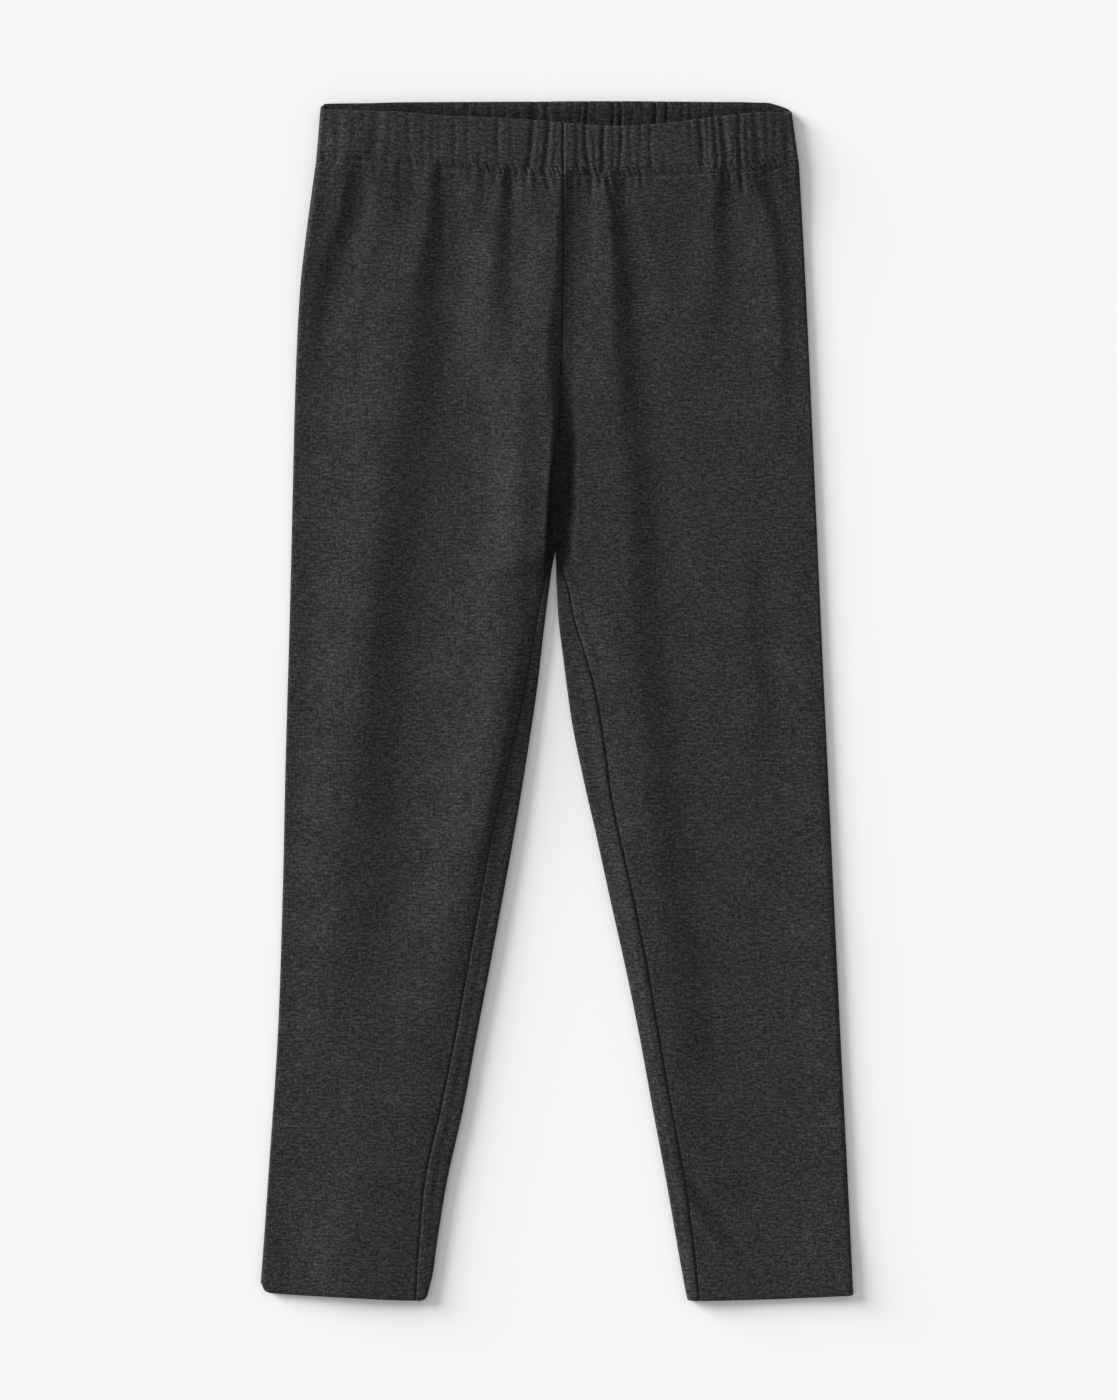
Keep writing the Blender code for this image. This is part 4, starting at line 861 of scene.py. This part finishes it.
def front_face_height(face, x, inward, share_up):
    """Height of the front's outer or inner face, inward being the distance from the band's outer end."""
    rise = ease(share_up / PINCHED)
    word = "right" if x < 0 else "left"
    free = ease(inward / BAND_END_REACH[word])
    middle = mix(BAND_MIDDLE_AT_ENDS[word], BAND_MIDDLE, free)
    if face == "inner":
        return mix(joint_height(x) - FOOT_WALL, middle - BAND_HALF, rise)
    ridge = FRONT_RIDGE * (fullness(FRONT_GATHERS, x, share_up) - RIDGE_LEVEL) * mix(END_RIDGE, 1.0, free)
    z = mix(joint_height(x), middle + BAND_HALF + ridge + centre_seam_height(x), rise)
    up = share_up * BAND_HEIGHT
    crimp = fullness(CRIMPS, x + CRIMP_SLANT * (up - 2) / 2, 0.5) - CRIMP_LEVEL
    z += CRIMP_DEPTH * crimp * along(CRIMPED, x) * ease(up) * ease((CRIMP_TOP - up) / CRIMP_FADE)
    return z - NEEDLE_FURROW * dip(up - BAND_NEEDLES[1], FURROW_BREADTH)


def back_face_height(face, x, inward, share_up):
    """Height of the back's faces: pressed flat where it lies, and deeply gathered on its inside."""
    if face == "outer":
        up = share_up * BAND_HEIGHT
        return NEEDLE_BACK_LIFT * sum(dip(up - needle, NEEDLE_BREADTH) for needle in BAND_NEEDLES)
    rise = ease(share_up / PINCHED)
    puff = BACK_RIDGE * (fullness(BACK_GATHERS, x, share_up) - RIDGE_LEVEL)
    puff += BACK_PUFF * ease((share_up - PUFF_FROM) / PUFF_OVER)
    return mix(FOOT_WALL, 2 * BAND_HALF + LAYER_GAP, rise) + puff * rise * ease(inward / BACK_END_REACH)


def band_point(place, share_up, face, deeper=0.0):
    """A point of the band's outer or inner face, or one that lies deeper in the cloth by some millimetres."""
    run, share, side = place
    word = "right" if side < 0 else "left"
    widest = OUTER_FOLD[word][0][1] - BAND_NARROWING[word] * share_up
    end = side * (widest - END_RADIUS["outer"])
    if run == "side":
        front, back = (height(face, end, 0.0, share_up) for height in (front_face_height, back_face_height))
        frontness = (1 + math.cos(share)) / 2
        x = end + side * (END_RADIUS[face] - deeper) * math.sin(share)
        z = mix(back, front, frontness)
    else:
        frontness = 1.0 if run == "front" else 0.0
        x = mix(CENTRE_SEAM[0][1] + side * BAND_SEAM, end, share)
        height = front_face_height if run == "front" else back_face_height
        z = height(face, x, abs(end - x), share_up)
    top = mix(along(BACK_TOP, x), along(FRONT_TOP, x), frontness)
    foot = mix(along(BACK_FOOT, x), along(FRONT_FOOT, x), frontness)
    return x, mix(foot, top, share_up), z + deeper * (1 - 2 * frontness)


def band_places(side, columns):
    """Every column of one half of the band, from the centre front seam round the side to the centre back."""
    front = [0.0, 0.0025, 0.005, 0.0085, 0.0125, 0.0175] + steps(0.022, 1.0, columns)
    back = steps(1.0, 0.012, int(columns * BACK_COLUMN_SHARE)) + [0.012, 0.006, 0.003, 0.0]
    runs = (("front", front), ("side", steps(0, math.pi, 14)), ("back", back))
    return [(run, share, side) for run, shares in runs for share in shares]


def band_section(place):
    """The cloth's section at one place: up its outer face, over the top and down its inner face."""
    outer = [band_point(place, share, "outer") for share in steps(0.0, 0.28, 16) + steps(0.28, SHOULDER, 16)]
    out, into = (Vector(band_point(place, SHOULDER, face)) for face in ("outer", "inner"))
    over = []
    for angle in steps(0, math.pi, 8):
        point = (out + into) / 2 + (out - into) / 2 * math.cos(angle)
        point.y -= (1 - SHOULDER) * BAND_HEIGHT * math.sin(angle)
        over.append(tuple(point))
    inner = [band_point(place, share, "inner") for share in steps(SHOULDER, 0.0, 16) + [0.0]]
    return outer + over + inner


# The row of each section along which the distance round the band is measured.
ROUND_ROW = 20

for leg in legs.values():
    leg.set_row(PANEL_TOP)
for word, side in LEG_SIDES.items():
    places = band_places(side, BAND_COLUMNS)
    rows = [band_section(place) for place in places]
    grain_rows, painted_shade_rows = [], []
    around = 0.0
    for k, (place, row) in enumerate(zip(places, rows)):
        if k:
            around += math.dist(row[ROUND_ROW], rows[k - 1][ROUND_ROW])
        up, cuts = 0.0, []
        for i, point in enumerate(row):
            up += math.dist(point, row[i - 1]) if i else 0.0
            cuts.append((around, up))
        grain_rows.append(cuts)
        # Painted shade on the back's half of the band.
        painted_shade_rows.append([along(OPENING_SHADE, row[0][0]) * (place[0] == "back")] * len(row))
    piece = cloth_piece(f"waistband_cloth_{word}", rows, grain_rows, painted_shade_rows, side > 0)
    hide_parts(f"waist_casing_{word}")


# ---- The stitching ---------------------------------------------------
# Twin-needle rows in matching thread hold the foot of the waistband and the two hems. Each stitch is a short
# rounded length of thread that lies in the furrow that its row presses into the cloth.
STITCH, STITCH_PITCH = 2.7, 3.3
THREAD_HALF_WIDTH, THREAD_HALF_HEIGHT = 0.21, 0.16
# How far the thread stands on the front and sinks into the back, and its least height over the surface.
THREAD_STANDS, THREAD_SINKS, THREAD_LOWEST = 0.02, 0.04, 0.18


def sew(mesh, points):
    """Stitches along a run of points, one at each pitch."""
    run = Line(points)
    for k in range(int(run.length / STITCH_PITCH)):
        middle = (k + 0.5) * STITCH_PITCH
        a, b = (in_metres(run.at(middle + half)) for half in (-STITCH / 2, STITCH / 2))
        turn = (b - a).to_track_quat("X", "Z").to_matrix().to_4x4()
        size = Matrix.Diagonal((*(s * MM for s in (STITCH / 2, THREAD_HALF_WIDTH, THREAD_HALF_HEIGHT)), 1))
        bmesh.ops.create_uvsphere(
            mesh, u_segments=6, v_segments=4, radius=1, matrix=Matrix.Translation((a + b) / 2) @ turn @ size
        )


def sewing_thread(name, colour):
    """Spun polyester thread: two plies twisted, with a faint lustre."""
    finish = Finish(name)
    place = finish.node("TexCoord", output=3)
    ply = finish.node("TexWave", {"Vector": place, "Scale": 900.0, "Distortion": 1.5, "Detail": 1.0}, "Fac",
                      bands_direction="DIAGONAL")
    shade = finish.blend(ply, (*shaded(colour, 0.6), 1), (*shaded(colour, 1.25), 1))
    bump = finish.node("Bump", {"Strength": 0.5, "Distance": 0.0001, "Height": ply})
    finish.fill(finish.surface, {"Base Color": shade, "Roughness": ply * 0.15 + 0.55, "Normal": bump,
                                 "Sheen Weight": 0.1, "Sheen Roughness": 0.4})
    return finish.material


thread = sewing_thread("charcoal sewing thread", (0.03, 0.03, 0.029))

mesh = bmesh.new()
for needle in BAND_NEEDLES:
    for side in LEG_SIDES.values():
        for part, sunk in (("front", 0.0), ("back", THREAD_SINKS)):
            places = [(part, share, side) for share in steps(0.022, 0.995, 170)]
            sew(mesh, [band_point(place, needle / BAND_HEIGHT, "outer", sunk) for place in places])
stitches = finished_object("waist_stitching", mesh, thread)

mesh = bmesh.new()
for leg in legs.values():
    for needle in HEM_NEEDLES:
        leg.set_row(HEM - needle)
        inner, outer = leg.left + 1.2, leg.right - 1.6
        front = [(leg.side * u, leg.bend(leg.side * u, leg.down), leg.front_height(u) + THREAD_STANDS)
                 for u in steps(inner, outer, 110)]
        back = [(x, leg.bend(x, leg.down, 0.0), max(leg.back_height(x) - THREAD_SINKS, THREAD_LOWEST))
                for x in (leg.side * u for u in steps(inner + 1.4, outer - 1.2, 60))]
        sew(mesh, front)
        sew(mesh, back)
stitches = finished_object("hem_stitching", mesh, thread)


# ---- The elastic -----------------------------------------------------
# A flat loop of woven elastic, 20 mm broad, that runs free inside the waistband. Rubber cores between polyester
# yarns give it upright ribs. The cloth hides it.
def woven_elastic(name):
    finish = Finish(name)
    place = finish.node("TexCoord", output=3)
    ribs = finish.node("TexWave", {"Vector": place, "Scale": 180.0, "Distortion": 0.4, "Detail": 1.0}, "Fac",
                       bands_direction="Y")
    picks = finish.node("TexNoise", {"Vector": place, "Scale": 1400.0, "Detail": 2.0})
    tone = ribs * 0.6 + picks * 0.4
    shade = finish.node("ValToRGB", {0: tone}, stops=[(0.2, (0.42, 0.42, 0.4)), (0.8, (0.7, 0.7, 0.68))])
    bump = finish.node("Bump", {"Strength": 0.6, "Distance": 0.0003, "Height": tone})
    finish.fill(finish.surface, {"Base Color": shade, "Roughness": picks * 0.2 + 0.6, "Normal": bump,
                                 "Sheen Weight": 0.1, "Sheen Roughness": 0.5})
    return finish.material


ELASTIC_HALF = 0.3
# The shares of the band's height between which it lies.
ELASTIC_REACH = (0.2, 0.93)
ELASTIC_COLUMNS = 100

left_half, right_half = (band_places(side, ELASTIC_COLUMNS) for side in (1, -1))
rows = []
for place in left_half + right_half[::-1] + left_half[:1]:
    plain, gathered = ("outer", "inner") if place[0] == "back" else ("inner", "outer")
    row = []
    for share_up in steps(*ELASTIC_REACH, 6) + [ELASTIC_REACH[1]]:
        start, towards = (Vector(band_point(place, share_up, face)) for face in (plain, gathered))
        row.append(start + (towards - start).normalized() * BAND_HALF)
    rows.append(row)
mesh = sheet_through(rows)
bmesh.ops.remove_doubles(mesh, verts=mesh.verts, dist=0.00001)
elastic = finished_object("elastic_webbing", mesh, woven_elastic("white woven elastic"))
thicken(elastic, 2 * ELASTIC_HALF, 0)
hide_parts("waist_elastic")


# ---- The floor, the lights and the camera ----------------------------
# A plain white surface under one broad, low light from the upper left and an even white fill. The camera looks
# straight down at the middle of the garment.
FLOOR_SIZE, FLOOR_DROP = 6.0, 0.0003
FILL, KEY_SHARE = 0.52, 0.51
KEY_ELEVATION, KEY_BEARING, KEY_SPREAD = 14.0, 29.0, 34.0
VIEW_HEIGHT, LENS, SENSOR = 0.728, 100.0, 36.0
VIEW_CENTRE, CLOTH_LEVEL = (0.0008, 0.0005), 0.004

mesh = bmesh.new()
bmesh.ops.create_grid(mesh, x_segments=1, y_segments=1, size=FLOOR_SIZE / 2)
bmesh.ops.translate(mesh, verts=mesh.verts, vec=(0, 0, -FLOOR_DROP))
data = bpy.data.meshes.new("floor")
mesh.to_mesh(data)
mesh.free()
floor = bpy.data.objects.new("floor", data)
bpy.context.scene.collection.objects.link(floor)
paper = Finish("white paper floor")
paper.fill(paper.surface, {"Base Color": (0.9, 0.9, 0.9, 1), "Roughness": 0.95, "Specular IOR Level": 0.0})
data.materials.append(paper.material)

world = bpy.data.worlds.new("white studio")
bpy.context.scene.world = world
world.use_nodes = True
world.node_tree.nodes["Background"].inputs["Color"].default_value = (1, 1, 1, 1)
world.node_tree.nodes["Background"].inputs["Strength"].default_value = FILL

key = bpy.data.lights.new("broad low light", "SUN")
key.angle = math.radians(KEY_SPREAD)
key.energy = KEY_SHARE * math.pi / math.sin(math.radians(KEY_ELEVATION))
lamp = bpy.data.objects.new("broad low light", key)
elevation, bearing = math.radians(KEY_ELEVATION), math.radians(KEY_BEARING)
towards_light = Vector((-math.cos(elevation) * math.cos(bearing), math.cos(elevation) * math.sin(bearing),
                        math.sin(elevation)))
lamp.rotation_euler = towards_light.to_track_quat("Z", "Y").to_euler()
bpy.context.scene.collection.objects.link(lamp)

lens = bpy.data.cameras.new("overhead camera")
lens.lens = LENS
lens.sensor_width = SENSOR
camera = bpy.data.objects.new("overhead camera", lens)
camera.location = (*VIEW_CENTRE, VIEW_HEIGHT * LENS / SENSOR + CLOTH_LEVEL)
bpy.context.scene.collection.objects.link(camera)
bpy.context.scene.camera = camera
bpy.context.scene.view_settings.view_transform = "Standard"
